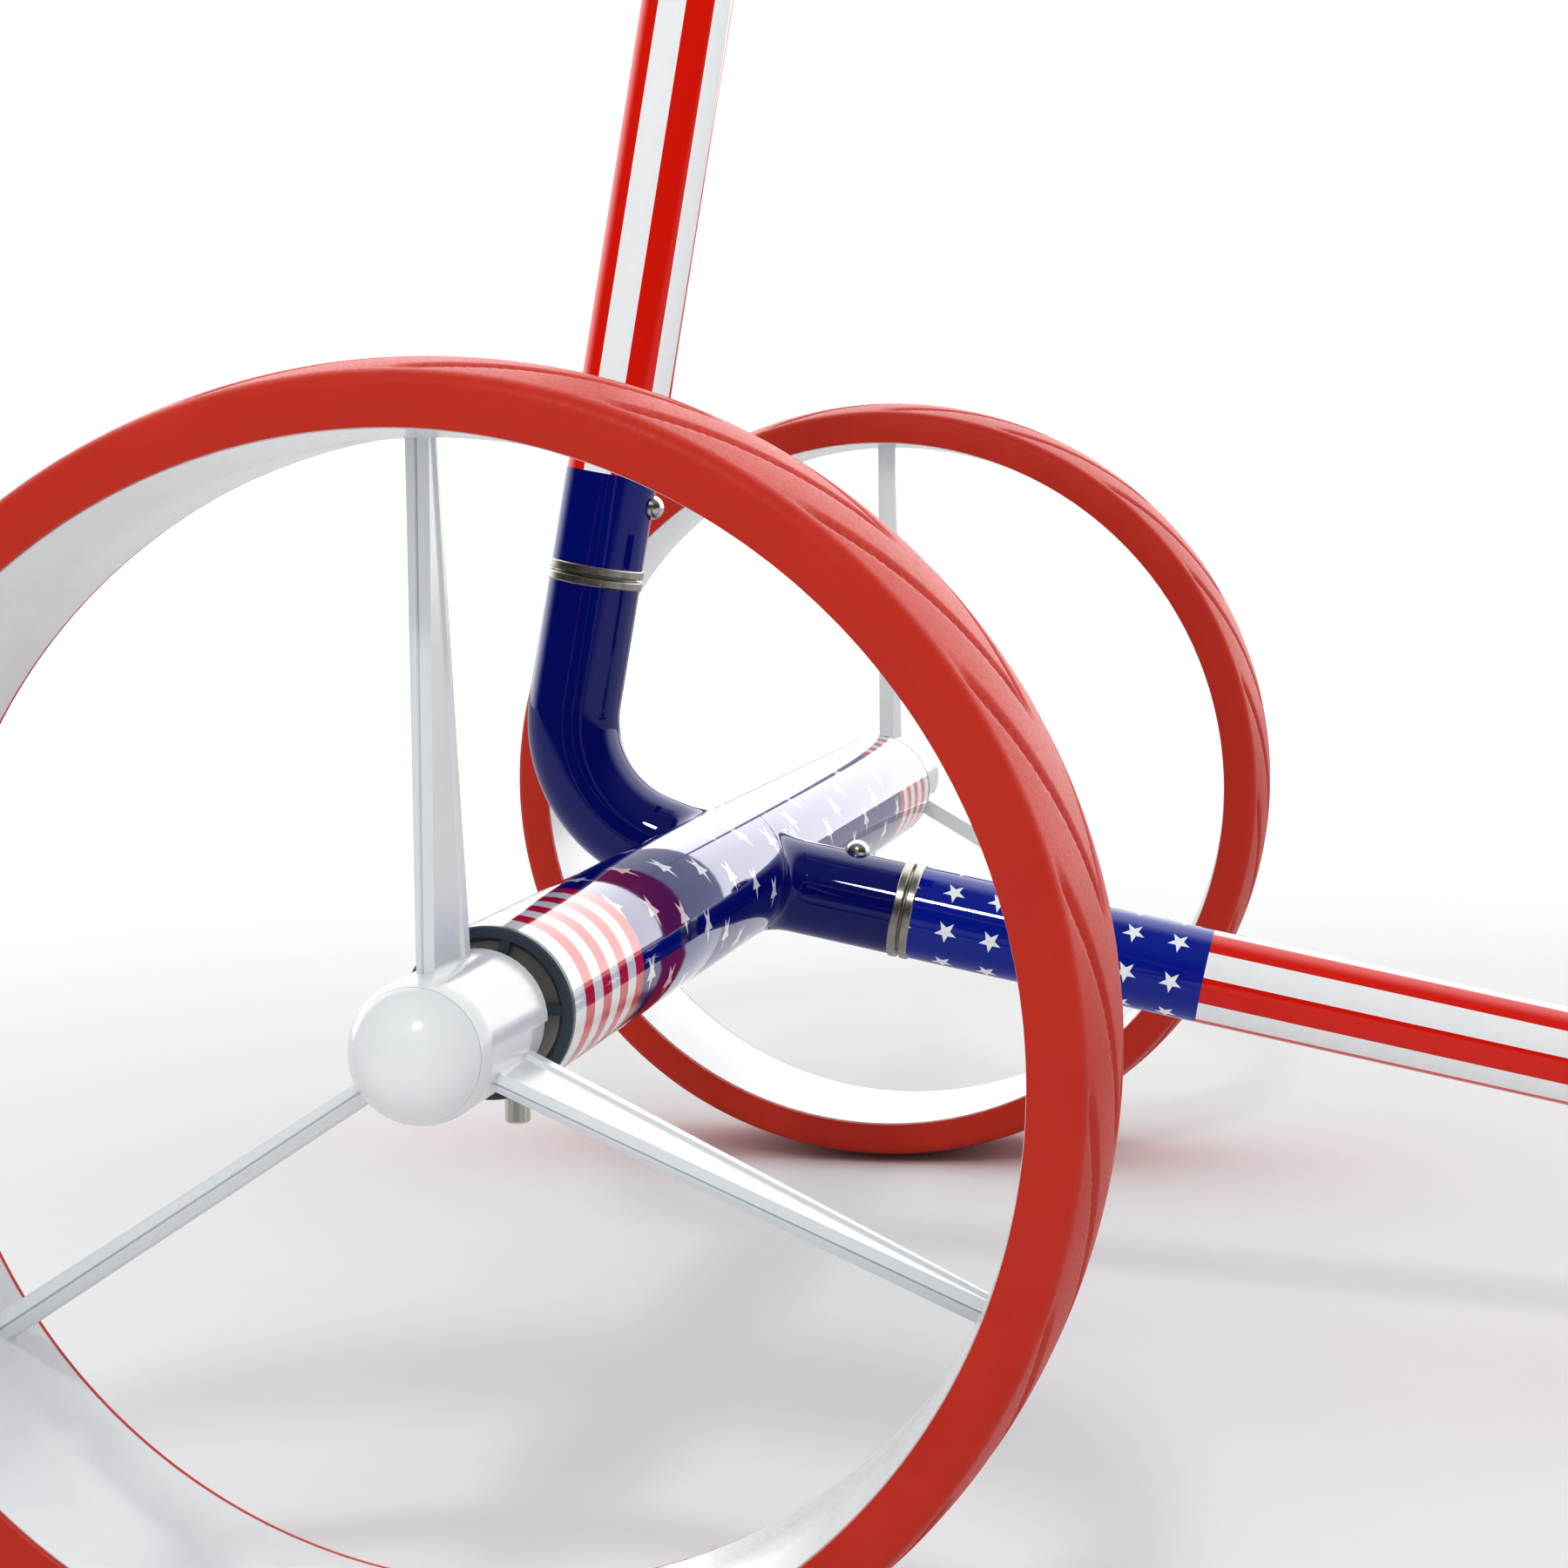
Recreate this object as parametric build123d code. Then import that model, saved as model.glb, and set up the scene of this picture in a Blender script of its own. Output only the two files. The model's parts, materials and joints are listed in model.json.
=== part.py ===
from build123d import *
import math
import os

os.makedirs("parts", exist_ok=True)

# A two-wheeled golf trolley. Lengths are millimetres and angles are degrees.
# Pieces are drawn about the middle of the axle, +X to the front, +Y to the left, +Z up,
# and are then moved so that the origin is on the floor, under the middle of the whole object.

# Wheels
wheel_radius = 145.0
track = 628.0               # between the middle planes of the two wheels
tyre_width = 73.4
tyre_height = 15.1          # from the bead to the middle of the tread
tread_crown = 4.2           # from the shoulders to the middle of the tread
tyre_sidewall_edge = 0.5    # how far the sidewall's edges lie inside its bulge
tyre_lip = 2.5              # tyre rubber outside each edge of the rim
rim_seat_rise = 1.9         # from the bead out to the rim's seat
rim_edge_wall = 2.2
rim_middle_wall = 3.8
wheel_rolls = {"right": 3.5, "left": 0.0}   # how far each wheel has rolled from spoke-up
spoke_count = 3

# Spokes, with depths counted outwards from the wheel's middle plane
spoke_rear = -19.7
spoke_front_at_hub = 9.6
spoke_front_at_rim = -13.9
spoke_half_at_hub = 2.0
spoke_half_at_rim = 2.7
spoke_lip = 0.6
spoke_groove = 0.8
spoke_nose_at_hub = 2.3     # the slope from the spoke's side to its front edge
spoke_nose_at_rim = 1.2
spoke_lip_height_at_hub = 5.0
spoke_lip_height_at_rim = 2.4
spoke_root_radius = 9.0
spoke_bite = 1.0            # how far a spoke runs into the rim

# Hub
hub_radius = 15.7
hub_gap = 9.4               # from the cross tube's cut end to the hub
dome_offset = 11.8          # from the wheel's middle plane to the dome's centre
seam_offset = 6.0           # from the dome's centre to the seam of its cap
seam_gap = 0.3
cap_wall = 3.0
cap_skirt_wall = 1.15
cap_skirt_depth = 4.0
nut_cavity_radius = 9.5
nut_cavity_depth = 2.0      # behind the dome's centre
nut_flats = 13.0
nut_height = 5.5
thread_radius = 4.0
thread_spare = 2.0          # thread that stands past the nut
dog_depth = 0.7
dog_length = 14.0
dog_angle = 75.0

# Cross tube and what it holds at each end
cross_radius = 19.7
cross_wall = 1.8
tube_end_inset = 41.4       # from the wheel's middle plane to the cross tube's cut end
end_ring_width = 2.5
end_ring_wall = 2.5
end_ring_lip = 8.0          # how far the ring reaches into the tube
end_ring_lip_wall = 1.8
end_ring_edge = 0.4
end_ring_recess = 0.3       # from the tube's cut end to the ribs' backs
rib_count = 5
rib_width = 2.4
rib_depth = 1.8
rib_start_gap = 2.4         # from the wheel's axle to the ribs
rib_first_angle = 4.0
axle_radius = 6.0
running_clearance = 0.05
bearing_radius = 12.0
bearing_width = 6.0
bearing_spread = 89.0       # between the two bearings of one wheel
axle_overhang = 2.0         # past the inner bearing
carrier_bore = 7.5
carrier_gap = 0.1           # from the bearing carrier to the end ring

# Wheel release plungers
plunger_radius = 3.0
plunger_inset = 22.6        # from the cross tube's cut end to the plunger's axis
plunger_reach = 9.6         # below the cross tube
plunger_travel = 2.0
plunger_depth = 1.0         # how far the tip stands inside the axle's surface
plunger_tip_gap = 0.5
plunger_edge = 0.5
groove_gap = 0.4            # each side of the plunger in the axle's groove
collar_radius = 4.8
collar_height = 1.4
collar_rest_gap = 1.4       # left under the collar when it is pulled right down
guide_gap = 0.15

# Frame tubes that plug together
joint_radius = 13.9
joint_wall = 1.4
ring_proud = 0.55
ring_width = 2.6
ring_half_gap = 0.4
ring_edge = 0.35
spigot_gap = 0.05
spigot_wall = 1.6
spigot_reach = 50.0         # past the joint
upper_spigot_hold = 32.0    # before the joint
lower_spigot_hold = 30.0
upper_lean = 9.71           # the upper tube leans forward from upright
elbow_corner = (-53.8, 20.0)
elbow_bend = 38.0
elbow_leg = 38.81           # straight tube from the bend to the upper joint
upper_length = 620.0
stub_length = 34.5          # from the cross tube to the lower joint
lower_length = 485.0
lower_end_height = 40.3     # of the lower tube's end, above the floor

# Snap buttons
button_radius = 3.6
button_height = 3.6
button_hole_gap = 0.2
button_flange = 4.6
button_flange_gap = 0.27    # from the flange to the spigot's wall
button_shoulder = 0.5       # of straight side outside the tube
button_depth = 7.6          # from its shoulder to its base
button_roof = 4.2           # solid metal over the spring
button_travel = 5.1
upper_button_place = 22.5   # past the upper joint
lower_button_place = 18.2   # before the lower joint
spring_wire = 0.5
button_spring_radius = 1.6
button_spring_gap = 0.5

# Handle
handle_back = 42.0          # the handle leans back from upright
eye_radius = 15.0
eye_width = 16.0
eye_flange = 4.0
eye_gap = 1.0               # from the flange to the fork's cheeks
cheek_width = 5.0
cheek_gap = 0.4
fork_height = 34.0          # from the pivot to the handle's tube
fork_plug = 20.0
fork_inset = 2.0            # the fork's neck is this much inside its cheeks, each side
fork_root_gap = 2.0         # from the eye to the bottom of the fork's slot
pivot_radius = 4.0
bolt_head_radius = 7.0
bolt_head_height = 4.0
bolt_gap = 0.4
plug_length = 40.0
stem_radius = 11.0
stem_length = 165.0
stem_wall = 1.5
bar_radius = 11.0
bar_length = 330.0
grip_radius = 15.5
grip_length = 118.0
grip_edge = 2.0
cap_length = 7.0
cap_plug = 14.0
cap_inset = 1.5
cap_edge = 2.5
knob_radius = 15.0
knob_height = 13.0
knob_gap = 0.6
knob_roof = 2.0
knob_lobes = 6
lobe_radius = 5.0
lobe_inset = 2.6            # from the knob's rim out to the middle of each hollow

# Bag rests
bag_radius = 115.0
cradle_wall = 5.0
cradle_height = 18.0
cradle_half_angle = 62.0
cradle_neck = 24.0
upper_cradle_inset = 220.0  # from the upper tube's end
clamp_wall = 5.0
clamp_length = 34.0
clamp_gap = 7.0             # from the lower clamp to the shelf's bracket
pad_wall = 4.0
pad_angle = 26.0
pad_height = 25.2
strap_width = 25.0
strap_wall = 2.0
strap_gap = 1.0             # from the strap's ends to the hooks, and from the hooks to the strap's face
hook_width = 12.0
hook_wall = 3.0
hook_margin = 2.0           # the hook is wider than the strap by this much, each side
hook_gap = 1.3              # from the cradle's tip to its hook
shelf_length = 118.0
shelf_back = 10.0           # behind the lower tube's axis
shelf_width = 96.0
shelf_wall = 6.0
shelf_corner = 22.0
shelf_drop = 52.0           # from the lower cradle down to the shelf
bracket_length = 46.0
bracket_cap = 4.0           # closes the lower tube's end
foot_length = 46.0
foot_width = 62.0
foot_height = 9.0
foot_corner = 8.0
leg_length = 34.0
leg_width = 26.0
leg_height = 34.0

# Worked out from the sizes above
tube_end = track / 2 - tube_end_inset
hub_end = tube_end + hub_gap
dome_centre = track / 2 + dome_offset
cross_bore = cross_radius - cross_wall
collar_top = collar_height + plunger_travel + collar_rest_gap - cross_bore
spring_floor = running_clearance - math.sqrt(cross_bore ** 2 - collar_radius ** 2)
joint_bore = joint_radius - joint_wall
spigot_radius = joint_bore - spigot_gap
spigot_bore = spigot_radius - spigot_wall
ring_radius = joint_radius + ring_proud
bead_radius = wheel_radius - tyre_height
shoulder_radius = wheel_radius - tread_crown
rim_seat_radius = bead_radius + rim_seat_rise
rim_edge_radius = rim_seat_radius - rim_edge_wall
rim_middle_radius = rim_seat_radius - rim_middle_wall
lower_joint = cross_radius + stub_length
lower_end = lower_joint + lower_length
lower_slope = math.degrees(math.asin((wheel_radius - lower_end_height) / lower_end))
elbow_turn = math.degrees(math.atan2(elbow_corner[1], elbow_corner[0])) - (90 - upper_lean)
upper_joint = elbow_bend * math.tan(math.radians(elbow_turn / 2)) + elbow_leg
upper_top = upper_joint + upper_length
upper_cradle_place = upper_top - upper_cradle_inset
lower_cradle_place = lower_end - bracket_length - clamp_gap - clamp_length / 2
eye_rise = eye_radius + eye_gap + eye_flange
cheek_inner = eye_width / 2 + cheek_gap
cheek_outer = cheek_inner + cheek_width
cradle_outer = bag_radius + pad_wall + cradle_wall


def direction(degrees_up):
    angle = math.radians(degrees_up)
    return Vector(math.cos(angle), 0, math.sin(angle))


corner = Vector(elbow_corner[0], 0, elbow_corner[1])
upper_way = direction(90 - upper_lean)
lower_way = direction(-lower_slope)
upper_plane = Plane(origin=corner, x_dir=direction(-upper_lean), z_dir=upper_way)
lower_plane = Plane(origin=(0, 0, 0), x_dir=direction(90 - lower_slope), z_dir=lower_way)
pivot = corner + upper_way * (upper_top + eye_rise)
pivot_plane = Plane(origin=pivot, x_dir=upper_plane.x_dir, z_dir=upper_way)
handle_plane = Plane(origin=pivot, x_dir=direction(handle_back), z_dir=direction(90 + handle_back))

# The bag leans between the two cradles
upper_rest = corner + upper_way * upper_cradle_place
lower_rest = lower_way * lower_cradle_place
bag_way = (upper_rest - lower_rest).normalized()
bag_out = Vector(bag_way.Z, 0, -bag_way.X)
rest_offset = joint_radius + clamp_wall + cradle_wall
bag_middle = bag_out * (bag_radius + rest_offset)
upper_bag_plane = Plane(origin=upper_rest + bag_middle, x_dir=bag_out, z_dir=bag_way)
lower_bag_plane = Plane(origin=lower_rest + bag_middle, x_dir=bag_out, z_dir=bag_way)

# The shelf's tip is the front of the object, and the tyre is its rear
shelf_tip = lower_rest - bag_way * (shelf_drop + shelf_wall) + bag_out * shelf_length
front_reach = shelf_tip.X
foot_middle = (lower_way * (lower_end - bracket_length / 2)).X
axle_x = (wheel_radius - front_reach) / 2
floor_shift = Pos(axle_x, 0, wheel_radius)


def save(shape, name):
    export_step(floor_shift * shape, "parts/" + name + ".step")


def save_pair(shape, name):
    save(shape, "left_" + name)
    save(mirror(shape, about=Plane.XZ), "right_" + name)


def turned(points):
    return revolve(make_face(Polyline(*points, close=True)), axis=Axis.Y)


def tube(outer, inner, start, end):
    length = end - start
    return Pos(0, 0, start) * (
        Cylinder(outer, length, align=(Align.CENTER, Align.CENTER, Align.MIN))
        - Cylinder(inner, length, align=(Align.CENTER, Align.CENTER, Align.MIN))
    )


def rod(radius, start, end):
    return Pos(0, 0, start) * Cylinder(radius, end - start, align=(Align.CENTER, Align.CENTER, Align.MIN))


def across(radius, start, end):
    return Pos(0, start, 0) * Rot(-90, 0, 0) * Cylinder(
        radius, end - start, align=(Align.CENTER, Align.CENTER, Align.MIN)
    )


def sector(inner, outer, start, size):
    outer_arc = CenterArc((0, 0), outer, start, size)
    inner_arc = CenterArc((0, 0), inner, start, size)
    sides = [Line(outer_arc @ 1, inner_arc @ 1), Line(inner_arc @ 0, outer_arc @ 0)]
    return make_face([outer_arc, inner_arc] + sides)


# ---- wheels ----
def tyre():
    half = tyre_width / 2
    edge = half - tyre_sidewall_edge
    seat = half - tyre_lip
    middle = track / 2
    side_middle = (bead_radius + shoulder_radius) / 2
    edges = [
        Polyline(
            (bead_radius, middle - edge),
            (bead_radius, middle - seat),
            (rim_seat_radius, middle - seat),
            (rim_seat_radius, middle + seat),
            (bead_radius, middle + seat),
            (bead_radius, middle + edge),
        ),
        ThreePointArc(
            (bead_radius, middle + edge), (side_middle, middle + half), (shoulder_radius, middle + edge)
        ),
        ThreePointArc(
            (shoulder_radius, middle + edge), (wheel_radius, middle), (shoulder_radius, middle - edge)
        ),
        ThreePointArc(
            (shoulder_radius, middle - edge), (side_middle, middle - half), (bead_radius, middle - edge)
        ),
    ]
    return revolve(make_face(edges), axis=Axis.Y)


def rim():
    half = tyre_width / 2 - tyre_lip
    middle = track / 2
    return turned([
        (rim_edge_radius, middle - half),
        (rim_seat_radius, middle - half),
        (rim_seat_radius, middle + half),
        (rim_edge_radius, middle + half),
        (rim_middle_radius, middle),
    ])


def spoke_section(height, half, front, nose, lip_height):
    rear = track / 2 + spoke_rear
    front = track / 2 + front
    side = [
        (spoke_groove / 2, front),
        (half, front - nose),
        (half, rear + lip_height),
        (half + spoke_lip, rear + lip_height - spoke_lip),
        (half + spoke_lip, rear),
    ]
    mirrored = [(-x, y) for x, y in reversed(side)]
    points = [(0, front - spoke_groove)] + side + mirrored
    return Pos(0, 0, height) * make_face(Polyline(*points, close=True))


def spoke():
    hub_face = spoke_section(
        spoke_root_radius, spoke_half_at_hub, spoke_front_at_hub, spoke_nose_at_hub, spoke_lip_height_at_hub
    )
    rim_face = spoke_section(
        rim_middle_radius + spoke_bite,
        spoke_half_at_rim,
        spoke_front_at_rim,
        spoke_nose_at_rim,
        spoke_lip_height_at_rim,
    )
    return loft([hub_face, rim_face], ruled=True)


def hub_barrel():
    seam = dome_centre + seam_offset
    seam_radius = math.sqrt(hub_radius ** 2 - seam_offset ** 2)
    half_seam = math.asin(seam_offset / hub_radius) / 2
    on_arc = (hub_radius * math.cos(half_seam), dome_centre + hub_radius * math.sin(half_seam))
    cavity_floor = dome_centre - nut_cavity_depth
    edges = [
        Polyline((axle_radius, hub_end), (hub_radius, hub_end), (hub_radius, dome_centre)),
        ThreePointArc((hub_radius, dome_centre), on_arc, (seam_radius, seam)),
        Polyline(
            (seam_radius, seam),
            (nut_cavity_radius, seam),
            (nut_cavity_radius, cavity_floor),
            (axle_radius, cavity_floor),
            (axle_radius, hub_end),
        ),
    ]
    barrel = revolve(make_face(edges), axis=Axis.Y)
    dog = extrude(sector(hub_radius - dog_depth, hub_radius + 1, 0, dog_angle), dog_length)
    return barrel - Pos(0, hub_end, 0) * Rot(-90, 0, 0) * dog


def wheel(roll):
    shape = rim() + hub_barrel()
    for number in range(spoke_count):
        shape += Rot(0, -roll + number * 360 / spoke_count, 0) * spoke()
    return shape - across(axle_radius, hub_end - 1, dome_centre - nut_cavity_depth)


def hub_cap():
    seam = dome_centre + seam_offset + seam_gap
    ball = Pos(0, dome_centre, 0) * (Sphere(hub_radius) - Sphere(hub_radius - cap_wall))
    keep = Pos(0, seam, 0) * Box(
        4 * hub_radius, 2 * hub_radius, 4 * hub_radius, align=(Align.CENTER, Align.MIN, Align.CENTER)
    )
    skirt_outer = nut_cavity_radius - running_clearance
    skirt_inner = skirt_outer - cap_skirt_wall
    skirt = across(skirt_outer, seam - cap_skirt_depth, seam + cap_wall)
    flange = across(hub_radius - cap_wall, seam, seam + cap_wall / 2)
    inside = Pos(0, dome_centre, 0) * Sphere(hub_radius - cap_wall / 2)
    hollow = across(skirt_inner, seam - cap_skirt_depth - 1, seam + cap_wall + 1)
    return (ball & keep) + ((skirt + flange - hollow) & inside)


def wheel_axle():
    inner_end = tube_end - bearing_spread - bearing_width - axle_overhang
    groove = tube_end - plunger_inset
    groove_half = plunger_radius + groove_gap
    groove_radius = axle_radius - plunger_depth - plunger_tip_gap
    thread_start = dome_centre - nut_cavity_depth
    thread_end = thread_start + nut_height + thread_spare
    return turned([
        (0, inner_end),
        (axle_radius - 1, inner_end),
        (axle_radius, inner_end + 1),
        (axle_radius, groove - groove_half),
        (groove_radius, groove - groove_half),
        (groove_radius, groove + groove_half),
        (axle_radius, groove + groove_half),
        (axle_radius, thread_start),
        (thread_radius, thread_start),
        (thread_radius, thread_end),
        (0, thread_end),
    ])


def axle_nut():
    start = dome_centre - nut_cavity_depth
    hexagon = extrude(RegularPolygon(nut_flats / 2, 6, major_radius=False), nut_height)
    nut = Pos(0, start, 0) * Rot(-90, 0, 0) * hexagon
    return nut - across(thread_radius, start - 1, start + nut_height + 1)


# ---- cross tube ----
def cross_tube():
    shape = across(cross_radius, -tube_end, tube_end) - across(cross_bore, -tube_end - 1, tube_end + 1)
    hole = rod(plunger_radius + guide_gap, -cross_radius - 1, 0)
    for side in (-1, 1):
        shape -= Pos(0, side * (tube_end - plunger_inset), 0) * hole
    return shape


def end_ring():
    inner = cross_radius - end_ring_wall
    lip_inner = cross_bore - end_ring_lip_wall
    front = tube_end + end_ring_width
    back = tube_end + end_ring_recess
    ring = turned([
        (lip_inner, tube_end - end_ring_lip),
        (cross_bore, tube_end - end_ring_lip),
        (cross_bore, tube_end),
        (cross_radius, tube_end),
        (cross_radius, front - end_ring_edge),
        (cross_radius - end_ring_edge, front),
        (inner, front),
        (inner, back),
        (lip_inner, back),
    ])
    rib_start = axle_radius + rib_start_gap
    rib = Pos(rib_start, back, 0) * Box(
        inner + end_ring_edge - rib_start, rib_depth, rib_width, align=(Align.MIN, Align.MIN, Align.CENTER)
    )
    for number in range(rib_count):
        ring += Rot(0, -rib_first_angle - number * 360 / rib_count, 0) * rib
    return ring


def bearing_carrier():
    front = tube_end + end_ring_recess - carrier_gap
    step = tube_end - end_ring_lip - carrier_gap
    nose = cross_bore - end_ring_lip_wall - running_clearance
    back = tube_end - bearing_spread - bearing_width
    shape = turned([
        (carrier_bore, back + bearing_width),
        (bearing_radius, back + bearing_width),
        (bearing_radius, back),
        (cross_bore, back),
        (cross_bore, step),
        (nose, step),
        (nose, front),
        (bearing_radius, front),
        (bearing_radius, tube_end - bearing_width),
        (carrier_bore, tube_end - bearing_width),
    ])
    place = Pos(0, tube_end - plunger_inset, 0)
    shape -= place * rod(plunger_radius + guide_gap, -cross_radius, 0)
    return shape - place * rod(collar_radius + guide_gap, -cross_radius, collar_top + guide_gap)


def bearing(place):
    outer = across(bearing_radius, place, place + bearing_width)
    return outer - across(axle_radius + running_clearance, place - 1, place + bearing_width + 1)


def plunger():
    tip = -(axle_radius - plunger_depth)
    shape = rod(plunger_radius, -cross_radius - plunger_reach, tip)
    shape = chamfer(shape.edges().group_by(Axis.Z)[0], plunger_edge)
    collar = rod(collar_radius, collar_top - collar_height, collar_top)
    return Pos(0, tube_end - plunger_inset, 0) * (shape + collar)


def plunger_spring():
    sleeve = tube(
        collar_radius - running_clearance,
        plunger_radius + guide_gap,
        spring_floor,
        collar_top - collar_height - running_clearance,
    )
    return Pos(0, tube_end - plunger_inset, 0) * sleeve


# ---- frame tubes and their plug joints ----
def elbow_tube():
    end = corner + upper_way * (upper_joint - ring_half_gap - ring_width)
    path = FilletPolyline((0, 0, 0), corner, end, radius=elbow_bend)
    start = Plane(origin=path @ 0, z_dir=path % 0)
    outer = sweep(start * Circle(joint_radius), path=path)
    inner = sweep(start * Circle(joint_bore), path=path)
    return outer - inner - across(cross_radius, -tube_end, tube_end)


def lower_stub():
    end = lower_joint - ring_half_gap - ring_width
    shape = lower_plane * tube(joint_radius, joint_bore, 0, end)
    shape -= across(cross_radius, -tube_end, tube_end)
    return shape - lower_plane * Pos(0, 0, lower_joint - lower_button_place) * button_hole()


def joint_ring(side):
    start = ring_half_gap if side > 0 else -ring_half_gap - ring_width
    ring = tube(ring_radius, joint_bore, start, start + ring_width)
    return chamfer(ring.edges().filter_by(GeomType.CIRCLE).sort_by(SortBy.RADIUS)[-2:], ring_edge)


def button_hole():
    radius = button_radius + button_hole_gap
    return Rot(0, 90, 0) * rod(radius, 0, joint_radius + button_height)


def snap_button():
    top = joint_radius + button_height
    shoulder = joint_radius + button_shoulder
    base = shoulder - button_depth
    cap_height = top - shoulder
    cap_radius = (button_radius ** 2 + cap_height ** 2) / (2 * cap_height)
    cap = Pos(0, 0, top - cap_radius) * Sphere(cap_radius)
    body = rod(button_radius, base, top) & (cap + rod(button_radius, base, shoulder))
    flange_top = math.sqrt(spigot_bore ** 2 - button_flange ** 2) - button_flange_gap
    flange = rod(button_flange, base, flange_top)
    bore = rod(button_spring_radius + button_spring_gap, base - 1, top - button_roof)
    return Rot(0, 90, 0) * (body + flange - bore)


def button_spring():
    # as long as it is when the button is pressed right in
    seat = math.sqrt(spigot_bore ** 2 - button_spring_radius ** 2) - button_spring_gap
    pressed = joint_radius + button_height - button_roof - button_travel - button_spring_gap
    return Rot(0, 90, 0) * tube(button_spring_radius, button_spring_radius - spring_wire, -seat, pressed)


def upper_tube():
    shape = tube(joint_radius, joint_bore, upper_joint + ring_half_gap + ring_width, upper_top)
    return upper_plane * (shape - Pos(0, 0, upper_joint + upper_button_place) * button_hole())


def lower_tube():
    return lower_plane * tube(joint_radius, joint_bore, lower_joint + ring_half_gap + ring_width, lower_end)


def upper_spigot():
    shape = tube(spigot_radius, spigot_bore, upper_joint - upper_spigot_hold, upper_joint + spigot_reach)
    return upper_plane * (shape - Pos(0, 0, upper_joint + upper_button_place) * button_hole())


def lower_spigot():
    shape = tube(spigot_radius, spigot_bore, lower_joint - lower_spigot_hold, lower_joint + spigot_reach)
    return lower_plane * (shape - Pos(0, 0, lower_joint - lower_button_place) * button_hole())


# ---- handle ----
def eye_fitting():
    eye = across(eye_radius, -eye_width / 2, eye_width / 2)
    neck = Box(eye_width, eye_width, eye_rise, align=(Align.CENTER, Align.CENTER, Align.MAX))
    flange = rod(joint_radius, -eye_rise, -eye_rise + eye_flange)
    plug = rod(spigot_radius, -eye_rise - plug_length, -eye_rise)
    shape = eye + neck + flange + plug - across(pivot_radius, -eye_width, eye_width)
    return pivot_plane * shape


def handle_fork():
    slot = eye_radius + fork_root_gap
    neck = 2 * (eye_radius - fork_inset)
    shape = across(eye_radius, -cheek_outer, cheek_outer)
    shape += Box(neck, 2 * cheek_outer, fork_height, align=(Align.CENTER, Align.CENTER, Align.MIN))
    shape -= Box(3 * eye_radius, 2 * cheek_inner, 2 * slot)
    shape += rod(stem_radius - stem_wall, slot, fork_height + fork_plug)
    shape -= across(pivot_radius + running_clearance, -2 * cheek_outer, 2 * cheek_outer)
    return handle_plane * shape


def handle_stem():
    shape = tube(stem_radius, stem_radius - stem_wall, fork_height, stem_length)
    saddle = Pos(0, 0, stem_length) * across(bar_radius, -2 * stem_radius, 2 * stem_radius)
    return handle_plane * (shape - saddle)


def handle_bar():
    half = bar_length / 2
    shape = across(bar_radius, -half, half) - across(bar_radius - stem_wall, -half - 1, half + 1)
    return handle_plane * Pos(0, 0, stem_length) * shape


def grip():
    end = bar_length / 2
    start = end - grip_length
    shape = across(grip_radius, start, end) - across(bar_radius, start - 1, end + 1)
    shape = chamfer(shape.edges().filter_by(GeomType.CIRCLE).sort_by(SortBy.RADIUS)[-2:], grip_edge)
    return handle_plane * Pos(0, 0, stem_length) * shape


def bar_cap():
    end = bar_length / 2
    shape = across(grip_radius - cap_inset, end, end + cap_length)
    shape += across(bar_radius - stem_wall, end - cap_plug, end)
    shape = chamfer(shape.edges().group_by(Axis.Y)[-1], cap_edge)
    return handle_plane * Pos(0, 0, stem_length) * shape


def pivot_bolt():
    tip = knob_gap + knob_height - knob_roof - bolt_gap
    shape = across(pivot_radius, -cheek_outer - tip, cheek_outer + bolt_gap + 1)
    shape += across(bolt_head_radius, cheek_outer + bolt_gap, cheek_outer + bolt_gap + bolt_head_height)
    return pivot_plane * shape


def handle_knob():
    start = -cheek_outer - knob_gap
    end = start - knob_height
    shape = across(knob_radius, end, start)
    lobe = Pos(knob_radius + lobe_inset, 0, 0) * across(lobe_radius, end - 1, start + 1)
    for number in range(knob_lobes):
        shape -= Rot(0, (number + 0.5) * 360 / knob_lobes, 0) * lobe
    return pivot_plane * (shape - across(pivot_radius + running_clearance, end + knob_roof, start + 1))


# ---- bag rests ----
def tube_clamp(plane, place):
    half = clamp_length / 2
    return plane * tube(joint_radius + clamp_wall, joint_radius, place - half, place + half)


def cradle(plane, tube_plane, place):
    profile = sector(cradle_outer - cradle_wall, cradle_outer, 180 - cradle_half_angle, 2 * cradle_half_angle)
    arc = extrude(profile, cradle_height / 2, both=True)
    neck = Pos(1 - cradle_outer, 0, 0) * Box(
        rest_offset + 2, cradle_neck, cradle_height, align=(Align.MAX, Align.CENTER, Align.CENTER)
    )
    half = clamp_length / 2
    hole = tube_plane * rod(joint_radius + clamp_wall, place - half, place + half)
    bore = tube_plane * rod(joint_radius, place - 4 * half, place + 4 * half)
    return plane * (arc + neck) - hole - bore


def cradle_pads(plane):
    inner = bag_radius
    pads = None
    for start in (180 - cradle_half_angle, 180 + cradle_half_angle - pad_angle):
        pad = extrude(sector(inner, inner + pad_wall, start, pad_angle), pad_height / 2, both=True)
        pads = pad if pads is None else pads + pad
    return plane * pads


def strap_corner():
    angle = math.radians(cradle_half_angle)
    return -cradle_outer * math.cos(angle), cradle_outer * math.sin(angle)


def strap_hooks(plane):
    x, y = strap_corner()
    hooks = None
    plate = Box(hook_width, hook_wall, strap_width + 2 * hook_margin)
    for side in (-1, 1):
        place = Pos(x + strap_gap, side * (y + hook_gap + hook_wall / 2), 0)
        hook = place * Rot(0, 0, side * (90 - cradle_half_angle)) * plate
        hooks = hook if hooks is None else hooks + hook
    return plane * hooks


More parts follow.
